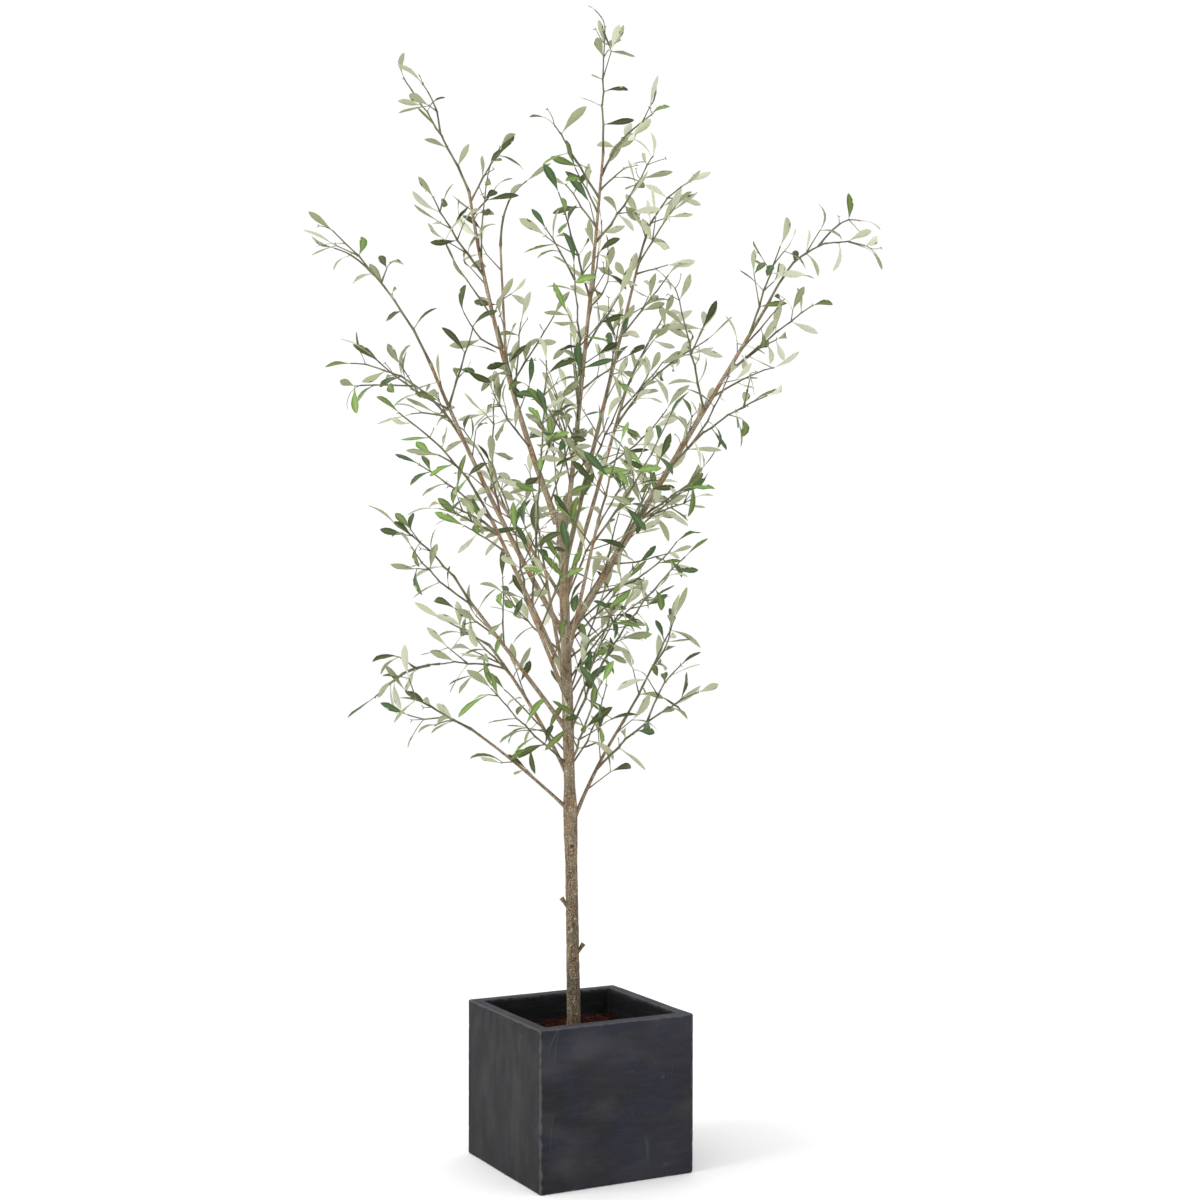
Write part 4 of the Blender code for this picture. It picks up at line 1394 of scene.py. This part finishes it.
@dataclass
class Trunk:
    """The trunk: moulded bark from the filling to the flat cut at the fork, with two cut side shoots."""

    sleeve: BarkSleeve = field(default_factory=lambda: BarkSleeve("trunk", 56, 0.0021, 0.00085, 9.0))
    buried: float = 0.006          # how far the bark reaches down into the filling
    cap_rings: int = 7
    cut_dome: float = 0.0008

    @staticmethod
    def axis() -> Axis:
        """The trunk's centre line."""
        return Axis((*TRUNK_FOOT, SOIL_LEVEL), (TRUNK_LEAN, 0.0, TRUNK_TOP - SOIL_LEVEL), TRUNK_BOW)

    @staticmethod
    def radii(shares: Array) -> Array:
        """Radius of the trunk: straight lines between its named girths, smoothed by a running mean.

        Args:
            shares: shares of the trunk's height.

        Returns:
            The radii.
        """
        heights, girths = zip(*TRUNK_GIRTH)
        fine = np.linspace(SOIL_LEVEL - 0.03, TRUNK_TOP, 600)
        read = np.interp(fine, heights, girths)
        kernel = np.hanning(15)
        smooth = np.convolve(np.pad(read, 7, mode="edge"), kernel / kernel.sum(), mode="valid")
        return np.interp(SOIL_LEVEL + shares * (TRUNK_TOP - SOIL_LEVEL), fine, smooth)

    @staticmethod
    def stub_radii(shares: Array) -> Array:
        """Radius along a stub: waisted, and a little swollen again at its cut end."""
        return STUB_RADIUS * (0.86 + 0.45 * (1.0 - shares) ** 4 + 0.42 * shares ** 6)

    def build(self) -> Piece:
        """Make the trunk and its two stubs as one piece.

        Returns:
            The trunk.
        """
        # The trunk's bark takes painted shade at its foot, by the filling.
        bark = Bark("trunk_bark", linear(50, 42, 32), linear(131, 117, 95), linear(206, 194, 164),
                    linear(152, 127, 98), 440.0, painted_foot_shade=0.34, crown_tint=0.52, tint_span=(0.56, 1.04),
                    crest_shade=0.30, crust=0.85, fissures=0.5).material()
        wood = Bark("cut_wood", linear(120, 104, 78), linear(156, 140, 110), linear(186, 170, 138),
                    linear(160, 134, 104), 600.0).material()
        axis = self.axis()
        mesh = PieceMesh()
        self.sleeve.lay(mesh, axis, self.radii, -self.buried / axis.length, self.cap_rings, self.cut_dome, 1)
        for number, (height, bearing) in enumerate(STUBS):
            angle = math.radians(bearing)
            out = np.array((math.cos(angle) * math.cos(STUB_TILT), math.sin(angle) * math.cos(STUB_TILT),
                            math.sin(STUB_TILT)))
            stub = Axis(axis.points(trunk_share(height)), out * STUB_LENGTH, 0.0)
            sleeve = BarkSleeve(f"stub_{number}", 24, 0.0007, 0.0006)
            sleeve.lay(mesh, stub, self.stub_radii, 0.1, self.cap_rings, self.cut_dome / 2, 1)
        piece = mesh.build("trunk_with_bark", [bark, wood], in_crown=True, sharp=60.0)
        return dress(piece, "trunk_bark", "trunk")


@dataclass
class Boughs:
    """The boughs: each a tapering sleeve of warm bark with a thick foot and a knuckle at its end."""

    sides: int = 20
    pitch: float = 0.0026
    depth: float = 0.00055
    scars: float = 12.0
    foot_swell: tuple[float, float] = (0.45, 0.022)     # how much thicker, and over what length
    knuckle: tuple[float, float] = (0.28, 0.006)        # the same at the end

    def radii(self, limb: Limb, length: float, shares: Array) -> Array:
        """Radius of a bough: an even taper, swollen at the foot and over the last few millimetres.

        Args:
            limb: the bough.
            length: its length.
            shares: shares of its length.

        Returns:
            The radii.
        """
        place = shares * length
        foot = self.foot_swell[0] * np.exp(-(place / self.foot_swell[1]) ** 2)
        knuckle = self.knuckle[0] * np.exp(-((length - place) / self.knuckle[1]) ** 2)
        return (limb.foot + (limb.end - limb.foot) * shares) * (1.0 + foot + knuckle)

    def build(self, axes: dict[str, Axis]) -> list[Piece]:
        """Make every bough.

        Args:
            axes: the centre lines by name.

        Returns:
            One piece for each bough.
        """
        bark = Bark("bough_bark", linear(58, 46, 34), linear(158, 144, 120), linear(208, 196, 172),
                    linear(166, 130, 97), 440.0, crown_tint=0.20, crust=0.3, fissures=0.6).material()
        pieces = []
        for limb in BOUGHS:
            axis = axes[limb.name]
            sleeve = BarkSleeve(limb.name, self.sides, self.pitch, self.depth, self.scars)
            mesh = PieceMesh()
            sleeve.lay(mesh, axis, partial(self.radii, limb, axis.length))
            piece = mesh.build("bark_of_" + limb.name, [bark], in_crown=True, sharp=70.0)
            pieces.append(dress(piece, "bough_bark", limb.name))
        return pieces


# -------- foliage
@dataclass(frozen=True)
class Habit:
    """How one order of stem grows."""

    foot: float                 # radius where it starts
    tip: float                  # radius where it ends
    pitch: float                # spacing of its leaf nodes
    bare: float                 # share of its length before the first node
    zigzag: float               # how far each node stands off the line
    twig_chance: float          # chance that a node bears a twig as well as its leaf
    leaf_chance: float          # chance that a node bears a leaf
    bud_chance: float           # chance of a pair of bud prongs at a node
    spur_chance: float          # chance of a leafless spur at a node
    pair_chance: float = 0.12   # chance of a second leaf, across from the first

    def times(self, leafy: float) -> Habit:
        """The same habit with more or fewer leaves and twigs."""
        leaf_chance = self.leaf_chance * leafy ** 0.5
        return replace(self, leaf_chance=leaf_chance, twig_chance=self.twig_chance * leafy)


LEADING = Habit(0.0023, 0.0011, 0.029, 0.10, 0.0018, 0.45, 0.94, 0.35, 0.12)
SIDE = Habit(0.0019, 0.0010, 0.028, 0.14, 0.0016, 0.34, 0.95, 0.30, 0.10)
TWIG = Habit(0.0013, 0.0008, 0.024, 0.26, 0.0010, 0.0, 0.97, 0.25, 0.08)


@dataclass
class Spray:
    """What all the leaves and twigs on one stem share."""

    zone: Zone               # the zone whose pieces take them
    palette: Array           # the share of each leaf shade
    random: Random           # source of their turns

    def shade(self) -> int:
        """Draw the shade of a leaf."""
        return int(self.random.choice(len(self.palette), p=self.palette))


@dataclass
class Joint:
    """Where something leaves a stem."""

    spray: Spray
    place: Array
    along: Array             # the stem's direction there
    outward: Array           # the side that it leaves on

    def leaning(self, degrees: tuple[float, float]) -> Array:
        """A direction that stands off the stem by an angle drawn between two."""
        angle = math.radians(self.spray.random.uniform(*degrees))
        return math.cos(angle) * self.along + math.sin(angle) * self.outward


@dataclass
class LeafForm:
    """A narrow olive leaf on a short stalk.

    Over u from 0 at its stalk to 1 at its tip, the half width is that of the stalk up to stalk_share and
    then width / 2 * sin(pi * t^1.45)^0.8, t being the share of the blade. The midline is an arc that turns
    by the leaf's droop, drawn aside by sweep * u^2. The halves rise from the rib by the fold.
    """

    length: tuple[float, float] = (0.044, 0.066)
    width: tuple[float, float] = (0.0120, 0.0168)
    stalk_share: float = 0.07
    stalk_half: float = 0.0006
    thickness: float = 0.00035
    droop: tuple[float, float] = (0.45, 0.45)    # mean and spread of the midline's turn
    least_droop: float = 0.05
    sweep: float = 0.10          # spread of the sweep to either side
    fold: float = 0.40           # how far the halves rise at most
    twist: float = 0.35          # spread of the twist about the midline
    ripple: float = 0.10         # spread of the waves in the fold
    toss: float = 0.42           # how freely the leaves face other ways
    stations: tuple[float, ...] = (0.0, 0.08, 0.24, 0.42, 0.60, 0.78, 0.92)
    across: tuple[float, ...] = (-1.0, -0.52, -0.09, 0.09, 0.52, 1.0, 0.35, -0.35)
    heights: tuple[float, ...] = (0.0, 0.6, 1.0, 1.0, 0.6, 0.0, -1.0, -1.0)
    top_strips: int = 5          # strips of each ring that face up, the middle one being the rib

    def half_width(self, shares: Array) -> Array:
        """Half width over the greatest half width, at shares of the length."""
        blade = np.clip((shares - self.stalk_share) / (1.0 - self.stalk_share), 0.0, 1.0)
        return np.sin(math.pi * blade ** 1.45) ** 0.8

    def normals(self, base: Array, ahead: Array, random: Random) -> Array:
        """The way each leaf's top faces: up and out from the trunk, less so in the heart, with a free turn.

        Args:
            base: (n, 3) places where the leaves start.
            ahead: (n, 3) unit directions that they point in.
            random: source of the turns.

        Returns:
            (n, 3) unit vectors square to ahead.
        """
        level = np.concatenate((base[:, :2] - TRUNK_FOOT, np.zeros((len(base), 1))), axis=1)
        far = np.linalg.norm(level, axis=1, keepdims=True)
        wish = 0.75 * unit(level) * np.minimum(1.0, far / 0.22)
        wish[:, 2] += 0.75 - 0.45 * in_heart(base)
        wish = wish + random.normal(0.0, self.toss, (len(base), 3))
        return unit(wish - (wish * ahead).sum(axis=1, keepdims=True) * ahead)

    def vertices(self, base: Array, ahead: Array, random: Random) -> Array:
        """Every leaf of a batch at once.

        Args:
            base: (n, 3) places where the leaves start.
            ahead: (n, 3) unit directions that they point in.
            random: source of their sizes and bends.

        Returns:
            (n, rings * sides + 1, 3) vertices, the last of each leaf being its tip.
        """
        each = (len(base), 1, 1, 1)
        length = random.uniform(*self.length, each)
        width = random.uniform(*self.width, each) * (0.75 + 0.25 * length / self.length[1])
        droop = random.normal(*self.droop, each)
        droop = np.where(np.abs(droop) < self.least_droop, self.least_droop, droop)
        sweep = random.normal(0.0, self.sweep, each)
        fold = random.uniform(0.0, self.fold, each)
        twist = random.normal(0.0, self.twist, each)
        ripple = random.normal(0.0, self.ripple, each)
        up = self.normals(base, ahead, random)[:, None, None]
        along = ahead[:, None, None]
        side = np.cross(along, up)
        shares = np.array((*self.stations, 1.0))[:, None, None]
        bend = droop * shares
        arc = np.sin(bend) / droop * along - (1.0 - np.cos(bend)) / droop * up
        middle = base[:, None, None] + length * arc + length * sweep * shares ** 2 * side
        over = np.cos(bend) * up + np.sin(bend) * along
        turn = twist * shares
        aside = np.cos(turn) * side + np.sin(turn) * over
        over = np.cos(turn) * over - np.sin(turn) * side
        half = np.maximum(self.half_width(shares) * width / 2, self.stalk_half)
        blade = smooth_step(shares, 0.05, 0.3)
        lift = blade * (fold + ripple * np.sin(9.0 * shares))
        thick = self.thickness * (1.0 + 1.4 * (1.0 - blade))
        cross, tall = np.array(self.across)[:, None], np.array(self.heights)[:, None]
        risen = middle + half * cross * aside + half * lift * np.abs(cross) ** 1.5 * over
        rings = risen + thick * tall * over
        return np.concatenate((rings[:, :-1].reshape(len(base), -1, 3), middle[:, -1]), axis=1)

    def faces(self, shades: Array) -> Faces:
        """Faces of a batch of leaves.

        Args:
            shades: (n,) number of each leaf's shade.

        Returns:
            Quads along the leaf, triangles to the tip and the closed stalk end, with their slots: four
            to a shade, for its top, rib, underside and margin.
        """
        rings, sides = len(self.stations), len(self.across)
        size = rings * sides + 1
        starts = size * np.arange(len(shades))[:, None, None]
        strip = np.arange(sides)
        part = np.where(strip == self.top_strips // 2, 1, np.where(strip < self.top_strips, 0, 2))
        part = np.where((strip == 0) | (strip == self.top_strips - 1), 3, part)
        along = np.concatenate((np.where(part == 2, 2, 1), np.tile(part, rings - 2)))
        last = (rings - 1) * sides
        tips = np.stack((last + strip, last + (strip + 1) % sides, np.full(sides, size - 1)), axis=-1)
        slots = 4 * shades[:, None]
        return [((tube_faces(rings, sides)[None] + starts).reshape(-1, 4), (slots + along[None]).ravel()),
                ((tips[None] + starts).reshape(-1, 3), (slots + part[None]).ravel()),
                ((strip[None, ::-1] + starts).reshape(-1, sides), slots[:, 0] + 2)]


class Foliage:
    """Grows the leafy stems on the boughs and gathers them by zone.

    Each stem follows its centre line. At each node along it the line steps a little to one side and then
    the other, and the node bears a leaf, perhaps a twig, and perhaps a pair of bud prongs. Twigs grow by
    the same rule.
    """

    GOLDEN = math.radians(137.5)
    LEAST = 0.35                    # share of a stem's length that its stalk reaches at least
    LEAF_ANGLES = (28.0, 72.0)      # how many degrees off the stem a leaf stands
    TWIG_ANGLES = (28.0, 55.0)
    TWIG_LENGTHS = (0.075, 0.135)
    SPUR_LENGTHS = (0.014, 0.036)
    SPUR_RADII = np.linspace(0.0009, 0.0006, 5)
    BUD_LENGTHS = (0.0035, 0.0065)
    BUD_RADII = np.array((0.0006, 0.0007, 0.0006, 0.00025))
    NODE_SWELL = 1.22               # how much thicker a stalk is at its nodes
    FOOT_SWELL = 1.35               # and at its foot

    def __init__(self, axes: dict[str, Axis]) -> None:
        """Start with no stem grown.

        Args:
            axes: centre lines of the trunk and boughs, to which the leading stems are added.
        """
        self.axes = axes
        self.leaves: dict[Zone, list[tuple[Array, Array, int]]] = {zone: [] for zone in Zone}
        self.stalks = {zone: PieceMesh() for zone in Zone}
        self.buds = PieceMesh()
        self.form = LeafForm()
        self.centres: list[tuple[Zone, Array]] = []
        self.lines: dict[str, Array] = {}

    def nearest_zone(self, place: Array) -> Zone:
        """The zone of the leading stem whose middle lies nearest."""
        return min(self.centres, key=lambda item: float(np.linalg.norm(item[1] - place)))[0]

    @staticmethod
    def palette(place: Array, random: Random) -> Array:
        """How a spray's leaves are shared among the shades.

        Args:
            place: the middle of the spray.
            random: source of the spray's own leaning.

        Returns:
            The share of each shade. Front and low sprays are brighter, and high and far ones paler.
        """
        front, wide = np.clip((-place[1] / 0.35, place[0] / 0.35), -1.0, 1.0)
        high, low = np.clip(((place[2] - 1.0) / 0.9, (1.35 - place[2]) / 0.35), 0.0, 1.0)
        near, far, right, left = (max(share, 0.0) for share in (front, -front, wide, -wide))
        low *= left
        heart = in_heart(place)
        green = (1.0 - 0.55 * right - 0.25 * left) * (1.0 - 0.5 * smooth_step(place[2], 1.72, 1.85))
        bright = 0.12 + 0.34 * near * (1.0 - 0.6 * high) + 0.10 * heart
        bright = bright * green * (1.0 - 0.4 * abs(wide))
        sage = 0.05 + 0.22 * far + 0.08 * high + 0.30 * right + 0.24 * low
        deep = 0.26 + 0.30 * heart - 0.17 * right - 0.08 * low
        weights = np.array((deep, 0.20, 0.30 * green, bright, sage))
        weights = weights * np.exp(random.normal(0.0, 0.5, len(weights)))
        return weights / weights.sum()

    def leaf(self, spray: Spray, base: Array, ahead: Array) -> None:
        """Note one leaf of a spray: where it starts, the way it points and its shade."""
        self.leaves[spray.zone].append((base, unit(ahead), spray.shade()))

    def side_leaf(self, joint: Joint) -> None:
        """Add a leaf that stands off the stem at a fair angle and hangs a little."""
        ahead = joint.leaning(self.LEAF_ANGLES)
        self.leaf(joint.spray, joint.place, ahead - (0.0, 0.0, joint.spray.random.uniform(0.0, 0.45)))

    def twig(self, joint: Joint, share: float) -> None:
        """Grow a short twig that leaves the stem at about forty degrees and curves up.

        Args:
            joint: where it leaves the stem.
            share: its length, against the common rule.
        """
        length = share * joint.spray.random.uniform(*self.TWIG_LENGTHS)
        chord = unit(joint.leaning(self.TWIG_ANGLES) + (0.0, 0.0, 0.12)) * length
        self.grow(Axis(joint.place, chord, -0.06 * length), TWIG, joint.spray)

    def bud(self, joint: Joint) -> None:
        """Add a pair of bud prongs, five-sided cones with rounded ends.

        Args:
            joint: where they stand.
        """
        random = joint.spray.random
        across = np.cross(joint.along, joint.outward)
        steps = np.linspace(0.0, 1.0, len(self.BUD_RADII))[:, None]
        for sign in (-1.0, 1.0):
            ahead = 0.7 * joint.along + 0.5 * joint.outward + sign * 0.8 * across
            ahead = unit(ahead + random.normal(0.0, 0.2, 3))
            line = joint.place + steps * random.uniform(*self.BUD_LENGTHS) * ahead
            self.buds.tube(line, self.BUD_RADII, 5)

    def spur(self, joint: Joint) -> None:
        """Add a thin leafless spur with bud prongs at its end.

        Args:
            joint: where it leaves the stem.
        """
        random = joint.spray.random
        ahead = unit(0.8 * joint.along + 0.7 * joint.outward + random.normal(0.0, 0.25, 3))
        axis = Axis(joint.place, ahead * random.uniform(*self.SPUR_LENGTHS), random.normal(0.0, 0.002))
        line = axis.points(np.linspace(0.0, 1.0, len(self.SPUR_RADII)))
        self.stalks[joint.spray.zone].tube(line, self.SPUR_RADII, 5)
        self.bud(Joint(joint.spray, line[-1], ahead, unit(np.cross(ahead, (0.3, 0.5, 0.8)))))

    def grow(self, axis: Axis, habit: Habit, spray: Spray, least: float = LEAST) -> Array:
        """Grow a stem with all that it bears.

        Args:
            axis: its centre line, whose end is the tip of its last leaf.
            habit: how its order grows.
            spray: what its leaves and twigs share.
            least: share of its length that the stalk reaches at least.

        Returns:
            The centres of its stalk.
        """
        random = spray.random
        mean_leaf = sum(self.form.length) / 2
        last = max(least, 1.0 - 0.85 * mean_leaf / axis.length)
        count = max(1, round((last - habit.bare) * axis.length / habit.pitch))
        jitter = random.uniform(-0.28, 0.28, count) / count
        jitter[-1] = 0.0
        shares = habit.bare + (last - habit.bare) * (np.arange(1, count + 1) / count + jitter)
        first = random.uniform(0.0, TURN)
        step = math.pi + random.choice((-1, 1)) * 0.45
        angles = first + np.arange(count) * step + random.normal(0, 0.3, count)
        side, over = axis.frame()
        outward = np.cos(angles)[:, None] * side + np.sin(angles)[:, None] * over
        knots = axis.points(shares) + habit.zigzag * random.uniform(0.4, 1.3, (count, 1)) * outward
        line = self.stalk(axis, habit, spray.zone, shares, knots)
        along = unit(np.gradient(line, axis=0))[2::3] if count > 1 else unit(line[-1:] - line[-2:-1])
        for number, (share, place, ahead, out) in enumerate(zip(shares, knots, along, outward)):
            end = number == count - 1
            joint, across = Joint(spray, place, ahead, out), Joint(spray, place, ahead, -out)
            if end:
                self.leaf(spray, place, ahead + random.normal(0.0, 0.12, 3))
            if random.uniform() < habit.leaf_chance and (not end or count == 1):
                self.side_leaf(joint)
            if not end and random.uniform() < habit.pair_chance:
                self.side_leaf(across)
            if random.uniform() < habit.bud_chance:
                self.bud(across)
            if random.uniform() < habit.spur_chance:
                self.spur(across)
            if random.uniform() < habit.twig_chance * (1.2 - share) and not end:
                self.twig(across, 1.0 - 0.45 * share)
        return line

    def stalk(self, axis: Axis, habit: Habit, zone: Zone, shares: Array, knots: Array) -> Array:
        """Make the stalk itself: a six-sided tube that is thickest at its nodes.

        Args:
            axis: the stem's centre line.
            habit: how its order grows.
            zone: the zone whose piece takes the stalk.
            shares: where the nodes stand along the line.
            knots: the nodes' places.

        Returns:
            The tube's centres: three to each node, the last of the three at the node itself.
        """
        starts = np.concatenate((axis.points(np.zeros(1)), knots[:-1]))
        before = np.append(0.0, shares[:-1])
        step = shares - before
        blend = 0.5 if len(shares) > 1 else 0.0
        thirds = []
        for part in (1 / 3, 2 / 3):
            straight = starts + (knots - starts) * part
            thirds.append(blend * axis.points(before + step * part) + (1.0 - blend) * straight)
        line = np.concatenate((starts[:1], np.stack((*thirds, knots), axis=1).reshape(-1, 3)))
        place = np.stack((before + step / 3.0, before + 2 * (step / 3.0), shares), axis=1)
        place = np.append(0.0, place) / max(float(shares[-1]), 1e-6)
        swollen = np.ones(len(line))
        swollen[3::3] = self.NODE_SWELL
        swollen[0] = self.FOOT_SWELL
        radii = (habit.foot + (habit.tip - habit.foot) * place) * swollen
        tip = line[-1:] + unit(line[-1:] - line[-2:-1]) * 0.0012
        self.stalks[zone].tube(np.concatenate((line, tip)), np.append(radii, habit.tip * 0.55), 6)
        return line

    def grow_all(self) -> None:
        """Grow every leading stem, the side stems between them and short twigs along the boughs."""
        rows = [(zone, limb) for zone, limbs in LEADING_STEMS.items() for limb in limbs]
        sides = [Limb(f"side_{number}", *row) for number, row in enumerate(SIDE_STEMS)]
        children = [limb for _, limb in rows] + sides
        leafy = {limb.name: limb.leafy for _, limb in rows}
        for zone, limb in rows:
            axis = self.axes[limb.name] = self.stem_axis(limb)
            self.centres.append((zone, axis.points(0.5)))
            least = max([self.LEAST] + [child.at for child in children if child.carrier == limb.name])
            spray = self.spray(zone, axis.points(0.6), seed_of(limb.name))
            self.lines[limb.name] = self.grow(axis, LEADING.times(limb.leafy), spray, least)
        for limb in sides:
            axis = self.stem_axis(limb)
            spray = self.spray(self.nearest_zone(axis.points(0.5)), axis.points(0.6), seed_of(limb.name))
            self.grow(axis, SIDE.times(leafy.get(limb.carrier, 1.0)), spray)
        for limb in BOUGHS:
            self.bough_twigs(limb)

    def stem_axis(self, limb: Limb) -> Axis:
        """Place a stem on its carrier, on the stalk itself where the carrier is a stem.

        Args:
            limb: the stem's sizes.

        Returns:
            The stem's centre line.
        """
        axis = limb_axis(limb, self.axes)
        line = self.lines.get(limb.carrier)
        if line is None:
            return axis
        steps = np.linspace(0.0, len(line) - 1.0, 12 * len(line))
        near = np.stack([np.interp(steps, np.arange(len(line)), line[:, k]) for k in range(3)], axis=-1)
        start = near[np.argmin(np.linalg.norm(near - axis.start, axis=1))]
        return Axis(start, axis.chord, limb.bow)

    def spray(self, zone: Zone, place: Array, random: Random) -> Spray:
        """The spray round a place, with a palette of its own."""
        return Spray(zone, self.palette(place, random), random)

    def bough_twigs(self, limb: Limb) -> None:
        """Short leafy twigs straight off a bough, beyond its bare foot.

        Args:
            limb: the bough.
        """
        axis = self.axes[limb.name]
        random = seed_of(limb.name + "_twigs")
        side, over = axis.frame()
        turn = random.uniform(0.0, TURN)
        for share in np.arange(0.34, 0.97, 0.060 / axis.length):
            turn += self.GOLDEN
            if random.uniform() < 0.78:
                place = axis.points(share)
                out = math.cos(turn) * side + math.sin(turn) * over
                spray = self.spray(self.nearest_zone(place), place, random)
                self.twig(Joint(spray, place, axis.directions(share), out), 0.85)

    def build(self) -> list[Piece]:
        """Make the pieces of every zone.

        Returns:
            Leaves and stalks for each zone, and the buds.
        """
        self.grow_all()
        shades = [material for shade in LeafShade for material in shade.materials()]
        green = Stalk("green_stalk", linear(78, 74, 54), linear(120, 114, 88)).material()
        brown = Stalk("brown_bud", linear(62, 50, 38), linear(104, 88, 64)).material()
        pieces = []
        for zone in Zone:
            name = "leaves_" + zone.value
            base, ahead, shade = (np.array(values) for values in zip(*self.leaves[zone]))
            mesh = PieceMesh()
            mesh.add(self.form.vertices(base, ahead, seed_of(name)), self.form.faces(shade))
            leaves = mesh.build(name, shades, in_crown=True, sharp=60.0)
            stalks = self.stalks[zone].build("stalks_" + zone.value, [green], in_crown=True)
            stems = [limb.name for limb in LEADING_STEMS[zone]]
            pieces += [dress(leaves, "foliage", *stems), dress(stalks, "foliage")]
            log.info("%s: %d leaves", name, len(base))
        return [*pieces, dress(self.buds.build("buds", [brown], in_crown=True), "foliage")]


# -------- studio
@dataclass(frozen=True)
class Lamp:
    """A square soft light."""

    name: str
    place: tuple[float, float, float]      # where it stands, in the crown's bearings
    side: float
    power: float                           # in watts

    def build(self, target: tuple[float, float, float]) -> None:
        """Hang the light so that it faces a place.

        Args:
            target: the place.
        """
        lamp = bpy.data.lights.new(self.name, "AREA")
        lamp.shape = "SQUARE"
        lamp.size = self.side
        lamp.energy = self.power
        item = bpy.data.objects.new(self.name, lamp)
        bpy.context.scene.collection.objects.link(item)
        spot = turned(np.array(self.place))
        item.location = spot
        away = unit(spot - np.array(target))
        item.rotation_euler = (math.acos(away[2]), 0.0, math.atan2(away[0], -away[1]))


@dataclass
class Studio:
    """A pale floor, soft light from all round and a level camera at half the tree's height."""

    floor_half: float = 60.0
    floor_drop: float = 0.0005
    floor_lines: int = 9
    lens: float = 60.0
    sensor: float = 36.0
    camera: tuple[float, float, float] = (0.038, -3.584, 1.008)  # in the crown's bearings
    sight: float = 200.0       # how far the camera sees
    sky: float = 1.035
    lamps: tuple[Lamp, ...] = (Lamp("key_light", (-3.0, -1.6, 2.6), 2.2, 75.0),
                               Lamp("fill_light", (2.6, -2.8, 2.2), 3.0, 12.0))
    target: tuple[float, float, float] = (0.0, 0.0, 1.0)         # what the lamps face

    def floor(self) -> None:
        """A wide flat grid just under the planter."""
        steps = np.linspace(-self.floor_half, self.floor_half, self.floor_lines)
        across, along = np.meshgrid(steps, steps, indexing="ij")
        mesh = PieceMesh()
        mesh.add(np.stack((across, along, np.full_like(across, -self.floor_drop)), axis=-1),
                 [(grid_faces(np.arange(across.size).reshape(across.shape)), 0)])
        item = mesh.build("studio_floor", [Backdrop().material()])

    def build(self) -> None:
        """Set up the floor, the lights, the sky and the camera."""
        self.floor()
        for lamp in self.lamps:
            lamp.build(self.target)
        world = bpy.data.worlds.new("studio_sky")
        world.use_nodes = True
        background = world.node_tree.nodes["Background"]
        background.inputs["Color"].default_value = (1.0, 1.0, 1.0, 1.0)
        background.inputs["Strength"].default_value = self.sky
        bpy.context.scene.world = world
        bpy.context.scene.view_settings.view_transform = "Standard"
        lens = bpy.data.cameras.new("camera")
        lens.lens = self.lens
        lens.sensor_width = self.sensor
        lens.clip_end = self.sight
        camera = bpy.data.objects.new("camera", lens)
        bpy.context.scene.collection.objects.link(camera)
        camera.location = turned(np.array(self.camera))
        camera.rotation_euler = (math.pi / 2, 0.0, CROWN_TURN)
        bpy.context.scene.camera = camera


def main() -> None:
    """Build the studio and every part of the object, and log each piece's face count."""
    logging.basicConfig(level=logging.INFO, format="%(message)s")
    Studio().build()
    axes = {"trunk": Trunk.axis()}
    for limb in BOUGHS:
        axes[limb.name] = limb_axis(limb, axes)
    pieces = [Planter().build(), *Filling().build(), Trunk().build(), *Boughs().build(axes)]
    pieces += Foliage(axes).build()
    for piece in pieces:
        log.info("%-32s %7d faces", piece.name, len(piece.data.polygons))


if __name__ == "__main__":
    main()
